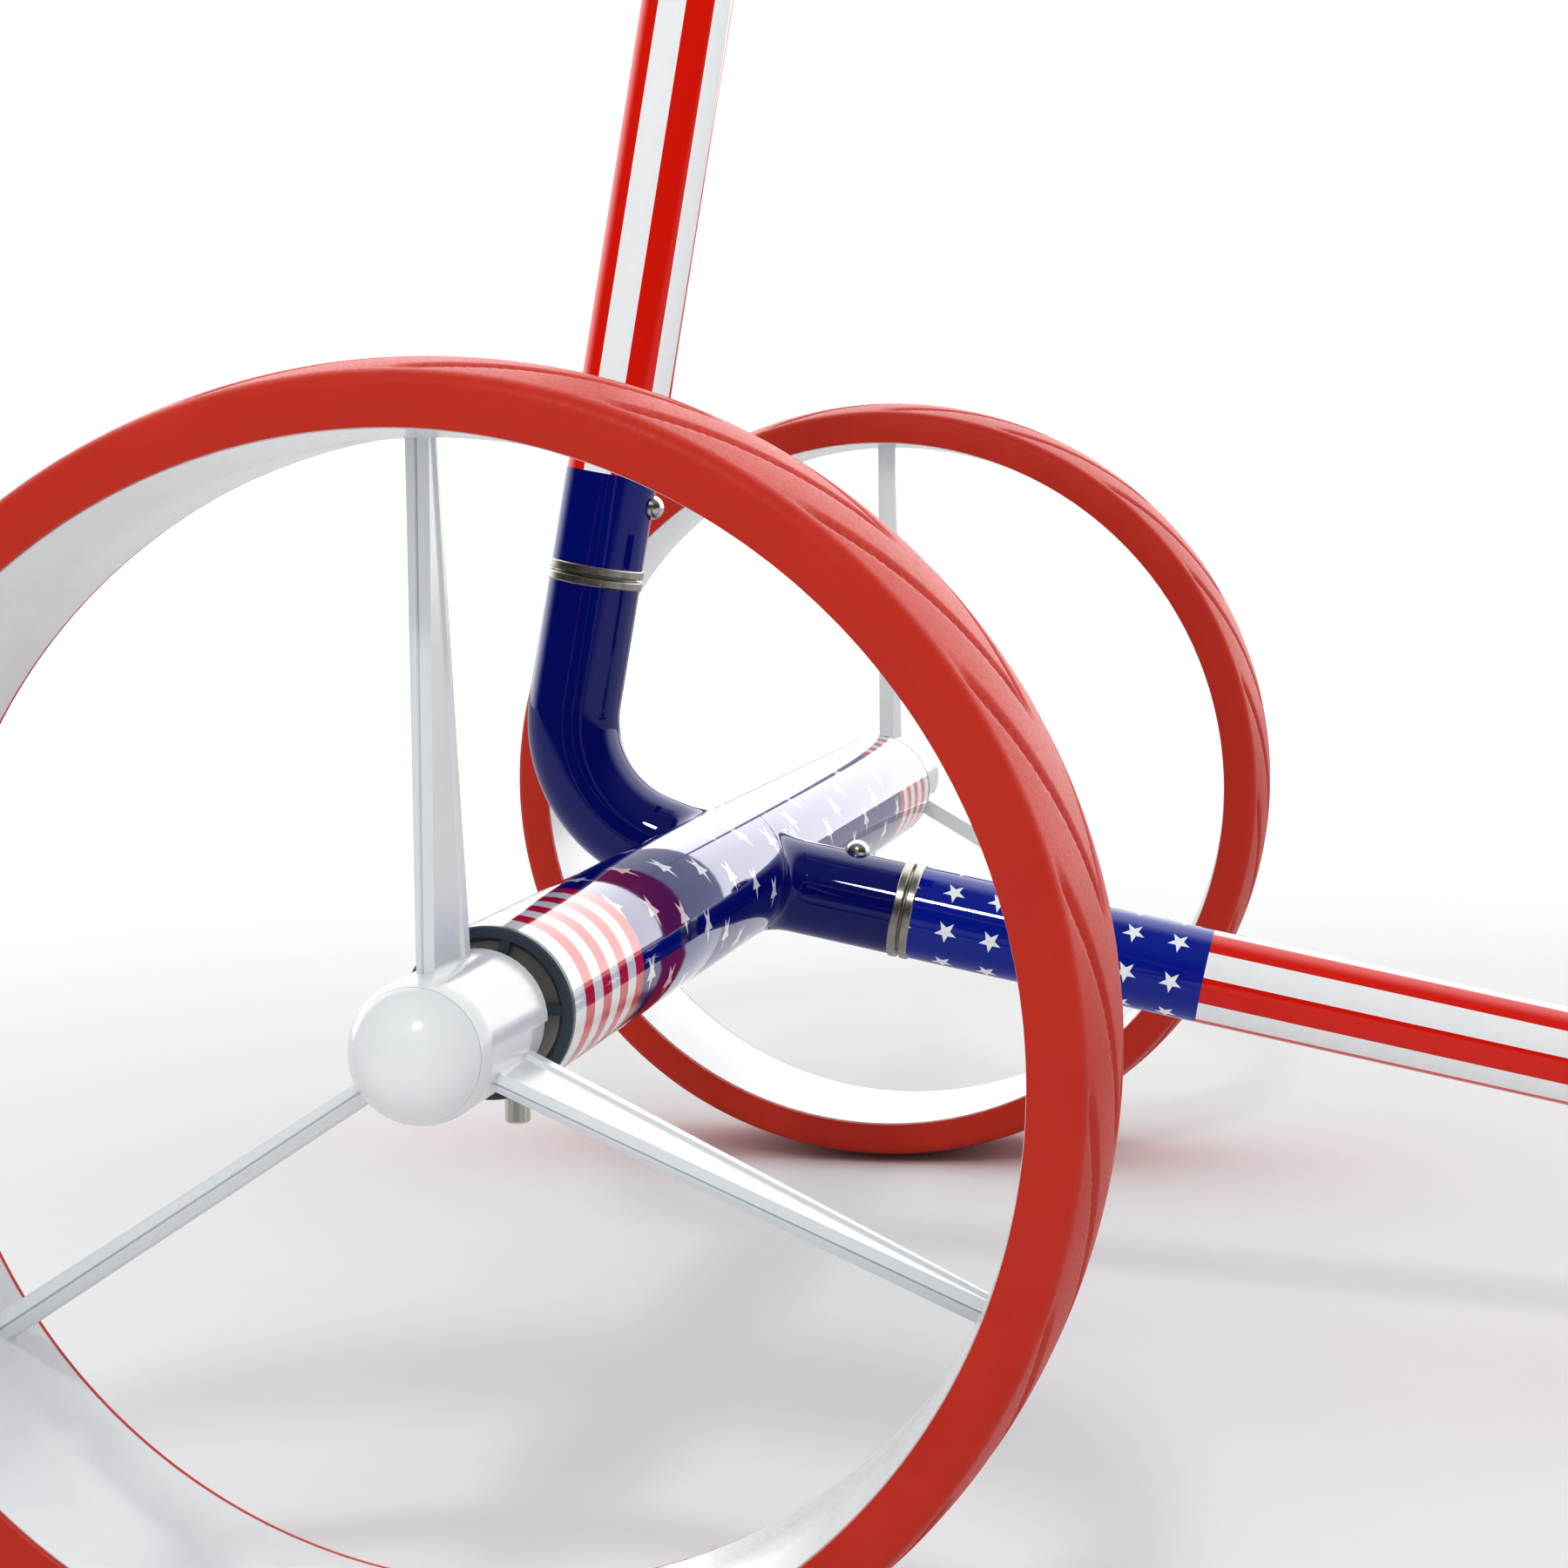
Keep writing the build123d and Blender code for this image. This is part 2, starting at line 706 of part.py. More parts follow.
def strap(plane):
    # with no bag in it, the elastic strap is pulled straight from hook to hook
    x, y = strap_corner()
    band = Box(strap_wall, 2 * (y - strap_gap), strap_width, align=(Align.MIN, Align.CENTER, Align.CENTER))
    return plane * Pos(x + hook_width / 2 + strap_gap, 0, 0) * band


def shelf_bracket():
    start = lower_rest - bag_way * shelf_drop
    shelf = Pos(-shelf_back, 0, 0) * Box(
        shelf_length + shelf_back, shelf_width, shelf_wall, align=(Align.MIN, Align.CENTER, Align.MAX)
    )
    shelf = fillet(shelf.edges().filter_by(Axis.Z).group_by(Axis.X)[-1], shelf_corner)
    shape = Plane(origin=start, x_dir=bag_out, z_dir=bag_way) * shelf
    shape += lower_plane * rod(joint_radius + clamp_wall, lower_end - bracket_length, lower_end + bracket_cap)
    foot_top = foot_height - wheel_radius
    shape += Pos(foot_middle, 0, foot_top) * Box(
        leg_length, leg_width, leg_height, align=(Align.CENTER, Align.CENTER, Align.MIN)
    )
    below = Pos(foot_middle, 0, foot_top) * Box(
        8 * leg_length, 2 * shelf_width, wheel_radius, align=(Align.CENTER, Align.CENTER, Align.MAX)
    )
    return shape - below - lower_plane * rod(joint_radius, 0, lower_end)


def foot():
    shape = Box(foot_length, foot_width, foot_height, align=(Align.CENTER, Align.CENTER, Align.MIN))
    shape = fillet(shape.edges().filter_by(Axis.Z), foot_corner)
    return Pos(foot_middle, 0, -wheel_radius) * shape


def build():
    wheels = {side: wheel(wheel_rolls[side]) for side in wheel_rolls}
    save(wheels["left"], "left_wheel")
    save(mirror(wheels["right"], about=Plane.XZ), "right_wheel")
    save_pair(tyre(), "tyre")
    save_pair(hub_cap(), "hub_cap")
    save_pair(wheel_axle(), "wheel_axle")
    save_pair(axle_nut(), "axle_nut")
    save(cross_tube(), "cross_tube")
    save_pair(end_ring(), "end_ring")
    save_pair(bearing_carrier(), "bearing_carrier")
    save_pair(bearing(tube_end - bearing_width), "outer_bearing")
    save_pair(bearing(tube_end - bearing_spread - bearing_width), "inner_bearing")
    save_pair(plunger(), "release_plunger")
    save_pair(plunger_spring(), "plunger_spring")
    save(elbow_tube(), "elbow_tube")
    save(lower_stub(), "lower_stub")
    upper_place = upper_plane * Pos(0, 0, upper_joint)
    lower_place = lower_plane * Pos(0, 0, lower_joint)
    save(upper_place * joint_ring(-1), "elbow_ring")
    save(upper_place * joint_ring(1), "upper_tube_ring")
    save(lower_place * joint_ring(-1), "stub_ring")
    save(lower_place * joint_ring(1), "lower_tube_ring")
    save(upper_spigot(), "upper_spigot")
    save(lower_spigot(), "lower_spigot")
    save(upper_tube(), "upper_tube")
    save(lower_tube(), "lower_tube")
    upper_button = upper_place * Pos(0, 0, upper_button_place)
    lower_button = lower_place * Pos(0, 0, -lower_button_place)
    save(upper_button * snap_button(), "upper_snap_button")
    save(lower_button * snap_button(), "lower_snap_button")
    save(upper_button * button_spring(), "upper_button_spring")
    save(lower_button * button_spring(), "lower_button_spring")
    save(eye_fitting(), "handle_eye")
    save(handle_fork(), "handle_fork")
    save(handle_stem(), "handle_stem")
    save(handle_bar(), "handle_bar")
    save_pair(grip(), "grip")
    save_pair(bar_cap(), "bar_cap")
    save(pivot_bolt(), "pivot_bolt")
    save(handle_knob(), "handle_knob")
    save(tube_clamp(upper_plane, upper_cradle_place), "upper_clamp")
    save(tube_clamp(lower_plane, lower_cradle_place), "lower_clamp")
    save(cradle(upper_bag_plane, upper_plane, upper_cradle_place), "upper_cradle")
    save(cradle(lower_bag_plane, lower_plane, lower_cradle_place), "lower_cradle")
    save(cradle_pads(upper_bag_plane), "upper_cradle_pads")
    save(cradle_pads(lower_bag_plane), "lower_cradle_pads")
    save(strap_hooks(upper_bag_plane), "upper_strap_hooks")
    save(strap_hooks(lower_bag_plane), "lower_strap_hooks")
    save(strap(upper_bag_plane), "upper_strap")
    save(strap(lower_bag_plane), "lower_strap")
    save(shelf_bracket(), "bag_shelf")
    save(foot(), "foot")
    print("the axle stands at x", round(axle_x, 3), "and the upper joint at", round(upper_joint, 3))


build()
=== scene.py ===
import json
import math

import bpy
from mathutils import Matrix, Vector


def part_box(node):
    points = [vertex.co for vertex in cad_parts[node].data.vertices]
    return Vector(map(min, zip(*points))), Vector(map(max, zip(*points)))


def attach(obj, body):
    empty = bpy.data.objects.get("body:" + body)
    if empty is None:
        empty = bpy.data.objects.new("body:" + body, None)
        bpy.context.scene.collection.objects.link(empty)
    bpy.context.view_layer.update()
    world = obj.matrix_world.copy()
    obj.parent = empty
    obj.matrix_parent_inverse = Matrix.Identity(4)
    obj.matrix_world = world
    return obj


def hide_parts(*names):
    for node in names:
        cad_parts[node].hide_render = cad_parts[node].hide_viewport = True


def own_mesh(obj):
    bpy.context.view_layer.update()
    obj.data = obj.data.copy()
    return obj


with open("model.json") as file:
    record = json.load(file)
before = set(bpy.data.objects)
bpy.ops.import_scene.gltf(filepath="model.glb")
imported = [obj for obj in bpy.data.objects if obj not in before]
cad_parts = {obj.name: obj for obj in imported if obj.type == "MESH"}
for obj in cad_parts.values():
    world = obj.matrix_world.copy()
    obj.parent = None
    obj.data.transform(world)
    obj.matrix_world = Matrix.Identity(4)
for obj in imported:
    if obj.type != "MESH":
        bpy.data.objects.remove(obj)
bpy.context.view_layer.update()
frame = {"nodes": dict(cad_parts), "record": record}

# Everything is in metres in the frame's own axes: +X is the front, +Y the left, +Z up.
mm = 0.001


# small tools
def linearColor(hexText):
    # a hex sRGB colour as the linear one that the shaders take
    channels = [int(hexText[place:place + 2], 16) / 255 for place in (1, 3, 5)]
    return tuple(c / 12.92 if c <= 0.04045 else ((c + 0.055) / 1.055) ** 2.4 for c in channels) + (1.0,)


def addNode(tree, kind, settings=None, inputs=None):
    node = tree.nodes.new("ShaderNode" + kind)
    for name, value in (settings or {}).items():
        setattr(node, name, value)
    for name, value in (inputs or {}).items():
        if isinstance(value, bpy.types.NodeSocket):
            tree.links.new(value, node.inputs[name])
        else:
            node.inputs[name].default_value = value
    return node


def workThrough(tree, values, steps):
    # works a printed pattern out step by step; a step takes numbers and the names of earlier steps
    for name, operation, *terms in steps:
        inputs = {place: values.get(term, term) for place, term in enumerate(terms)}
        values[name] = addNode(tree, "Math", {"operation": operation}, inputs).outputs[0]
    return values


def middleOf(*nodes):
    corners = [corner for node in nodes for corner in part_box(node)]
    low = Vector([min(corner[axis] for corner in corners) for axis in range(3)])
    high = Vector([max(corner[axis] for corner in corners) for axis in range(3)])
    return (low + high) / 2


def deselectAll():
    for thing in bpy.context.selected_objects:
        thing.select_set(False)


def makeActive(piece):
    deselectAll()
    piece.select_set(True)
    bpy.context.view_layer.objects.active = piece


def applyAll(piece):
    makeActive(piece)
    for modifier in list(piece.modifiers):
        bpy.ops.object.modifier_apply(modifier=modifier.name)


def settle(piece, name, body, material, replaced=(), smoothAngle=35):
    # the last touches on a finished piece: name, shading, finish and the body that carries it
    piece.name = name
    makeActive(piece)
    bpy.ops.object.transform_apply(location=True, rotation=True, scale=True)
    bpy.ops.object.shade_smooth_by_angle(angle=math.radians(smoothAngle))
    piece.data.materials.clear()
    piece.data.materials.append(material)
    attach(piece, body)
    if replaced:
        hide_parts(*replaced)
    return piece


def ringPiece(sections):
    # a closed ring through sections that all have the same number of points
    count, size = len(sections), len(sections[0])
    points = [point for section in sections for point in section]
    faces = []
    for row in range(count):
        after = (row + 1) % count
        for column in range(size):
            beside = (column + 1) % size
            faces.append((row * size + column, row * size + beside, after * size + beside, after * size + column))
    mesh = bpy.data.meshes.new("ring")
    mesh.from_pydata(points, [], faces)
    piece = bpy.data.objects.new("ring", mesh)
    bpy.context.scene.collection.objects.link(piece)
    facingOut(piece)
    return piece


def facingOut(piece):
    makeActive(piece)
    bpy.ops.object.mode_set(mode="EDIT")
    bpy.ops.mesh.select_all(action="SELECT")
    bpy.ops.mesh.normals_make_consistent(inside=False)
    bpy.ops.object.mode_set(mode="OBJECT")


def turnedPiece(profile, middle, steps=96):
    # a profile of (radius, place along Y) turned about a line along Y through the middle
    sections = []
    for step in range(steps):
        angle = 2 * math.pi * step / steps
        out = Vector((math.cos(angle), 0, math.sin(angle)))
        sections.append([middle + out * radius + Vector((0, along, 0)) for radius, along in profile])
    return ringPiece(sections)


def smoothStep(value):
    value = min(1.0, max(0.0, value))
    return value * value * (3 - 2 * value)


# places that the model gives
mounts = {mount["name"]: mount for mount in frame["record"]["mounts"]}
axle = middleOf("cross_tube")
upperWay = Vector(mounts["upper_tube_clamp"]["axis"]).normalized()
lowerWay = Vector(mounts["lower_tube_clamp"]["axis"]).normalized()
upperJoint = middleOf("elbow_ring", "upper_tube_ring")
lowerJoint = middleOf("stub_ring", "lower_tube_ring")
upperTurn = (0, math.atan2(upperWay.x, upperWay.z), 0)
lowerTurn = (0, math.atan2(lowerWay.x, lowerWay.z), 0)
bagWay = (middleOf("upper_strap") - middleOf("lower_strap")).normalized()
bagOut = Vector((bagWay.z, 0, -bagWay.x))
bagTurn = (0, math.atan2(bagWay.x, bagWay.z), 0)
print("frame loaded, axle at", tuple(round(v, 4) for v in axle))

# the camera stands low, outside the right wheel
cameraLook = {"lens": 80, "sensor": 36, "fromAxle": (0.20827, -1.02107, 0.12309), "turn": (84.699, 0.079, 10.677)}
bpy.ops.object.camera_add(location=axle + Vector(cameraLook["fromAxle"]))
camera = bpy.context.object
camera.name = "studioCamera"
camera.rotation_euler = [math.radians(angle) for angle in cameraLook["turn"]]
camera.data.lens = cameraLook["lens"]
camera.data.sensor_width = cameraLook["sensor"]
camera.data.clip_start = 0.01
bpy.context.scene.camera = camera
bpy.context.scene.view_settings.view_transform = "Standard"
bpy.context.scene.view_settings.gamma = 0.8   # a studio print's deep blacks
print("camera set")


# finishes
def surface(look):
    # a finish from its settings: mottled colour, uneven gloss and a fine relief, all on Object coordinates in mm
    material = bpy.data.materials.new(look["name"])
    material.use_nodes = True
    tree = material.node_tree
    shader = tree.nodes["Principled BSDF"]
    where = addNode(tree, "TexCoord")
    place = addNode(tree, "Mapping", {"vector_type": "TEXTURE"}, {
        "Vector": where.outputs["Object"], "Location": look.get("middle", (0, 0, 0)),
        "Rotation": look.get("turn", (0, 0, 0)), "Scale": (mm, mm, mm)})
    cloud = addNode(tree, "TexNoise", None, {
        "Vector": place.outputs[0], "Scale": 1 / look["cloudSize"], "Detail": 3.0, "Roughness": 0.55})
    color = addNode(tree, "Mix", {"data_type": "RGBA"}, {
        0: cloud.outputs[0], 6: linearColor(look["colors"][0]), 7: linearColor(look["colors"][1])})
    tree.links.new(color.outputs[2], shader.inputs["Base Color"])
    grainPlace = addNode(tree, "Mapping", None, {
        "Vector": place.outputs[0], "Scale": look.get("stretch", (1, 1, 1))})
    grain = addNode(tree, "TexNoise", None, {
        "Vector": grainPlace.outputs[0], "Scale": 1 / look["grainSize"], "Detail": 2.0})
    gloss = addNode(tree, "MapRange", None, {
        "Value": grain.outputs[0], "From Min": 0.3, "From Max": 0.7,
        "To Min": look["roughness"][0], "To Max": look["roughness"][1]})
    tree.links.new(gloss.outputs[0], shader.inputs["Roughness"])
    relief = addNode(tree, "Bump", None, {
        "Height": grain.outputs[0], "Distance": look["relief"] * mm, "Strength": 1.0})
    tree.links.new(relief.outputs[0], shader.inputs["Normal"])
    shader.inputs["Metallic"].default_value = look.get("metallic", 0.0)
    if not look.get("metallic"):
        shader.inputs["IOR"].default_value = look.get("ior", 1.5)
        shader.inputs["Specular IOR Level"].default_value = look.get("specular", 0.5)
    if "coat" in look:
        shader.inputs["Specular IOR Level"].default_value = 0.0   # the gloss is all in the lacquer
        shader.inputs["Coat Weight"].default_value = look["coat"]
        shader.inputs["Coat Roughness"].default_value = look["coatRoughness"]
        shader.inputs["Coat IOR"].default_value = 1.5
    return {"material": material, "tree": tree, "shader": shader, "place": place, "color": color,
            "grain": grain, "relief": relief}


# moulded nylon, polished tool: a cool white with a tight highlight
whiteNylon = surface({"name": "mouldedWhiteNylon", "colors": ("#dce0e2", "#e5e8ea"), "cloudSize": 30,
                      "grainSize": 1.6, "roughness": (0.14, 0.22), "relief": 0.006, "ior": 1.53,
                      "specular": 0.35})
# polyurethane foam tyre, moulded: deep red with a soft wide sheen and a faint skin texture
redTyre = surface({"name": "mouldedRedPolyurethane", "colors": ("#b93424", "#c43c2b"), "cloudSize": 18,
                   "grainSize": 0.7, "roughness": (0.36, 0.5), "relief": 0.02, "specular": 0.22})
# wet navy enamel on aluminium tube, lacquered: almost black-blue with mirror-like streaks
navyEnamel = surface({"name": "lacqueredNavyEnamel", "colors": ("#021074", "#020c62"), "cloudSize": 25,
                      "grainSize": 3.0, "roughness": (0.3, 0.4), "relief": 0.004,
                      "coat": 1.0, "coatRoughness": 0.02})
# white powder coat: soft gloss with orange peel
whiteCoat = surface({"name": "whitePowderCoat", "colors": ("#e2e4e5", "#ebeced"), "cloudSize": 20,
                     "grainSize": 1.1, "roughness": (0.26, 0.36), "relief": 0.02})
# stainless steel, turned and polished: bright with fine tool lines
polishedSteel = surface({"name": "turnedStainlessSteel", "colors": ("#c4c1ba", "#d0cec8"), "cloudSize": 6,
                         "grainSize": 0.5, "roughness": (0.16, 0.3), "relief": 0.006, "metallic": 1.0})
# spring steel wire: darker and oily
springSteel = surface({"name": "drawnSpringSteel", "colors": ("#8e8d8a", "#a3a19c"), "cloudSize": 4,
                       "grainSize": 0.3, "roughness": (0.28, 0.4), "relief": 0.008, "metallic": 1.0})
# die-cast aluminium, tumbled: pale grey with a soft grain
castAluminium = surface({"name": "tumbledCastAluminium", "colors": ("#a7a49d", "#b9b6ae"), "cloudSize": 9,
                         "grainSize": 0.6, "roughness": (0.38, 0.52), "relief": 0.02, "metallic": 1.0})
# glass-filled nylon, spark-eroded tool: blue-grey and satin
greyNylon = surface({"name": "glassFilledGreyNylon", "colors": ("#39444f", "#46525e"), "cloudSize": 8,
                     "grainSize": 0.4, "roughness": (0.26, 0.4), "relief": 0.01, "ior": 1.53})
# the same nylon in black, with a coarser leather-like grain
blackNylon = surface({"name": "glassFilledBlackNylon", "colors": ("#1b1d20", "#24272b"), "cloudSize": 14,
                      "grainSize": 0.7, "roughness": (0.38, 0.52), "relief": 0.03, "ior": 1.53})
# thermoplastic rubber grip: dull black with a dry bloom
gripRubber = surface({"name": "mouldedGripRubber", "colors": ("#222325", "#303134"), "cloudSize": 12,
                      "grainSize": 0.45, "roughness": (0.6, 0.8), "relief": 0.04})
# closed-cell EVA foam: charcoal with small cells
padFoam = surface({"name": "closedCellFoam", "colors": ("#34363a", "#42454a"), "cloudSize": 10,
                   "grainSize": 0.9, "roughness": (0.75, 0.92), "relief": 0.09})
# neoprene rubber foot: black, scuffed grey in places
footRubber = surface({"name": "scuffedNeoprene", "colors": ("#1e1f21", "#3a3a3b"), "cloudSize": 7,
                      "grainSize": 0.6, "roughness": (0.65, 0.85), "relief": 0.04})


def brushedRing(name, middle, turn):
    # stainless ring, brushed round on a lathe: fine dark and light lines that follow the ring
    return surface({"name": name, "middle": middle, "turn": turn, "colors": ("#8f8c86", "#b8b4ab"),
                    "cloudSize": 5, "grainSize": 1.0, "stretch": (0.25, 0.25, 7.0),
                    "roughness": (0.2, 0.38), "relief": 0.01, "metallic": 1.0})


upperRingSteel = brushedRing("brushedUpperRing", upperJoint, upperTurn)
lowerRingSteel = brushedRing("brushedLowerRing", lowerJoint, lowerTurn)

# printed flag film under clear lacquer; lengths in mm, angles in degrees
film = {
    "white": "#e8ebec", "whiteMottle": "#eef1f2", "red": "#d5200e", "navy": "#052596", "crossNavy": "#021074",
    "starInner": 0.4,
    "lower": {"fieldEnd": 144.5, "firstStar": 68.1, "starPitch": 13.46, "starRows": 7, "rowAngle": 97.5,
              "starTip": 3.5, "radius": 13.9, "stripes": 11, "stripeAngle": 50.9},
    "upper": {"fieldEnd": 30.7, "stripes": 10, "stripeAngle": 41.6},
    "cross": {"bandInset": 10.0, "ring": 8.3, "fieldEnd": 204.5, "starTip": 5.3, "radius": 19.7,
              "star": (136.9, 62.5), "across": (-25.0, -16.4), "along": (17.0, -42.0), "farTurn": 6.0},
}


def lacqueredFilm(name, middle, turn):
    # smooth polyester film under a hard clear coat: flat colour edges with mirror-like streaks over them
    return surface({"name": name, "middle": middle, "turn": turn, "colors": (film["white"], film["white"]),
                    "cloudSize": 25, "grainSize": 3.0, "roughness": (0.3, 0.4), "relief": 0.003,
                    "coat": 1.0, "coatRoughness": 0.02})


def tubeSpots(finish):
    # distances in mm and the angle in degrees about the tube's own line, which runs along local Z
    parts = addNode(finish["tree"], "SeparateXYZ", None, {0: finish["place"].outputs[0]})
    return {"x": parts.outputs[0], "y": parts.outputs[1], "z": parts.outputs[2]}


def starMask(tree, values, aside, ahead, tip):
    # 1 inside a five-pointed star with one tip towards "ahead"
    inner = tip * film["starInner"]
    fifth = math.pi / 5
    edge = Vector((inner * math.sin(fifth), tip - inner * math.cos(fifth)))
    return workThrough(tree, values, (
        ("starAngle", "ARCTAN2", aside, ahead),
        ("starWrapped", "WRAP", "starAngle", fifth, -fifth),
        ("starTurn", "ABSOLUTE", "starWrapped"),
        ("starLean", "SUBTRACT", "starTurn", math.atan2(edge.y, edge.x)),
        ("starCosine", "COSINE", "starLean"),
        ("starAside", "MULTIPLY", aside, aside),
        ("starSquare", "MULTIPLY_ADD", ahead, ahead, "starAside"),
        ("starReach", "SQRT", "starSquare"),
        ("starDepth", "MULTIPLY", "starReach", "starCosine"),
        ("star", "LESS_THAN", "starDepth", edge.x * tip / edge.length),
    ))


def paintFilm(finish, values, redName, fieldName, navy):
    tree = finish["tree"]
    mottle = addNode(tree, "Mix", {"data_type": "RGBA"}, {
        0: finish["grain"].outputs[0], 6: linearColor(film["white"]), 7: linearColor(film["whiteMottle"])})
    striped = addNode(tree, "Mix", {"data_type": "RGBA"}, {
        0: values[redName], 6: mottle.outputs[2], 7: linearColor(film["red"])})
    printed = addNode(tree, "Mix", {"data_type": "RGBA"}, {
        0: values[fieldName], 6: striped.outputs[2], 7: linearColor(navy)})
    tree.links.new(printed.outputs[2], finish["shader"].inputs["Base Color"])


def lowerFilm():
    size = film["lower"]
    finish = lacqueredFilm("flagFilmOnLowerTube", axle, lowerTurn)
    tree = finish["tree"]
    values = tubeSpots(finish)
    rowStep = 2 * math.pi / size["starRows"]
    stripeStep = 2 * math.pi / size["stripes"]
    # the mapping's X points down here, so both are turned over to count from the top towards the right
    workThrough(tree, values, (
        ("down", "MULTIPLY", "x", -1.0),
        ("right", "MULTIPLY", "y", -1.0),
        ("angle", "ARCTAN2", "right", "down"),
        ("alongCells", "SUBTRACT", "z", size["firstStar"]),
        ("alongCell", "DIVIDE", "alongCells", size["starPitch"]),
        ("alongNumber", "ROUND", "alongCell"),
        ("alongPart", "SUBTRACT", "alongCell", "alongNumber"),
        ("aside", "MULTIPLY", "alongPart", size["starPitch"]),
        ("rowAngles", "SUBTRACT", "angle", math.radians(size["rowAngle"])),
        ("rowCell", "DIVIDE", "rowAngles", rowStep),
        ("rowNumber", "ROUND", "rowCell"),
        ("rowPart", "SUBTRACT", "rowCell", "rowNumber"),
        ("ahead", "MULTIPLY", "rowPart", rowStep * size["radius"]),
    ))
    starMask(tree, values, "aside", "ahead", size["starTip"])
    workThrough(tree, values, (
        ("field", "LESS_THAN", "z", size["fieldEnd"]),
        ("unstarred", "SUBTRACT", 1.0, "star"),
        ("navyArea", "MULTIPLY", "field", "unstarred"),
        ("stripeAngles", "SUBTRACT", "angle", math.radians(size["stripeAngle"])),
        ("stripeCell", "DIVIDE", "stripeAngles", stripeStep * 2),
        ("stripePart", "FRACT", "stripeCell"),
        ("striped", "GREATER_THAN", "stripePart", 0.5),
        ("beyond", "SUBTRACT", 1.0, "field"),
        ("redArea", "MULTIPLY", "striped", "beyond"),
    ))
    paintFilm(finish, values, "redArea", "navyArea", film["navy"])
    return finish["material"]


def upperFilm():
    size = film["upper"]
    finish = lacqueredFilm("flagFilmOnUpperTube", upperJoint, upperTurn)
    tree = finish["tree"]
    values = tubeSpots(finish)
    workThrough(tree, values, (
        ("right", "MULTIPLY", "y", -1.0),
        ("angle", "ARCTAN2", "right", "x"),
        ("stripeAngles", "SUBTRACT", "angle", math.radians(size["stripeAngle"])),
        ("stripeCell", "DIVIDE", "stripeAngles", 4 * math.pi / size["stripes"]),
        ("stripePart", "FRACT", "stripeCell"),
        ("redArea", "LESS_THAN", "stripePart", 0.5),
        ("navyArea", "LESS_THAN", "z", size["fieldEnd"]),
    ))
    paintFilm(finish, values, "redArea", "navyArea", film["crossNavy"])
    return finish["material"]


def crossFilm():
    size = film["cross"]
    finish = lacqueredFilm("flagFilmOnCrossTube", axle, (0, 0, 0))
    tree = finish["tree"]
    values = tubeSpots(finish)
    tubeEnd = (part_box("cross_tube")[1].y - axle.y) / mm
    (w0, angle0), (w1, angle1), (w2, angle2) = size["star"], size["across"], size["along"]
    spread = w1 * angle2 - w2 * angle1
    perDegree = math.radians(size["radius"])
    workThrough(tree, values, (
        ("fromMiddle", "ABSOLUTE", "y"),
        ("turned", "ARCTAN2", "z", "x"),
        ("degrees", "MULTIPLY", "turned", 180 / math.pi),
        ("far", "GREATER_THAN", "y", 0.0),
        ("farTurn", "MULTIPLY", "far", size["farTurn"]),
        ("angle", "SUBTRACT", "degrees", "farTurn"),
        ("du", "SUBTRACT", "fromMiddle", w0),
        ("dv", "SUBTRACT", "angle", angle0),
        ("iPart", "MULTIPLY", "du", angle2 / spread),
        ("i", "MULTIPLY_ADD", "dv", -w2 / spread, "iPart"),
        ("jPart", "MULTIPLY", "du", -angle1 / spread),
        ("j", "MULTIPLY_ADD", "dv", w1 / spread, "jPart"),
        ("iNear", "ROUND", "i"),
        ("jNear", "ROUND", "j"),
        ("iOff", "SUBTRACT", "i", "iNear"),
        ("jOff", "SUBTRACT", "j", "jNear"),
        ("asideI", "MULTIPLY", "iOff", w1),
        ("aside", "MULTIPLY_ADD", "jOff", w2, "asideI"),
        ("aheadI", "MULTIPLY", "iOff", -angle1 * perDegree),
        ("ahead", "MULTIPLY_ADD", "jOff", -angle2 * perDegree, "aheadI"),
    ))
    starMask(tree, values, "aside", "ahead", size["starTip"])
    workThrough(tree, values, (
        ("field", "LESS_THAN", "fromMiddle", size["fieldEnd"]),
        ("unstarred", "SUBTRACT", 1.0, "star"),
        ("navyArea", "MULTIPLY", "field", "unstarred"),
        ("beyond", "SUBTRACT", 1.0, "field"),
        ("ringPlace", "SUBTRACT", tubeEnd - size["bandInset"], "fromMiddle"),
        ("ringCell", "DIVIDE", "ringPlace", 2 * size["ring"]),
        ("ringPart", "FRACT", "ringCell"),
        ("ringRed", "LESS_THAN", "ringPart", 0.5),
        ("inBand", "GREATER_THAN", "ringPlace", 0.0),
        ("ringArea", "MULTIPLY", "ringRed", "inBand"),
        ("redArea", "MULTIPLY", "ringArea", "beyond"),
    ))
    paintFilm(finish, values, "redArea", "navyArea", film["crossNavy"])
    return finish["material"]


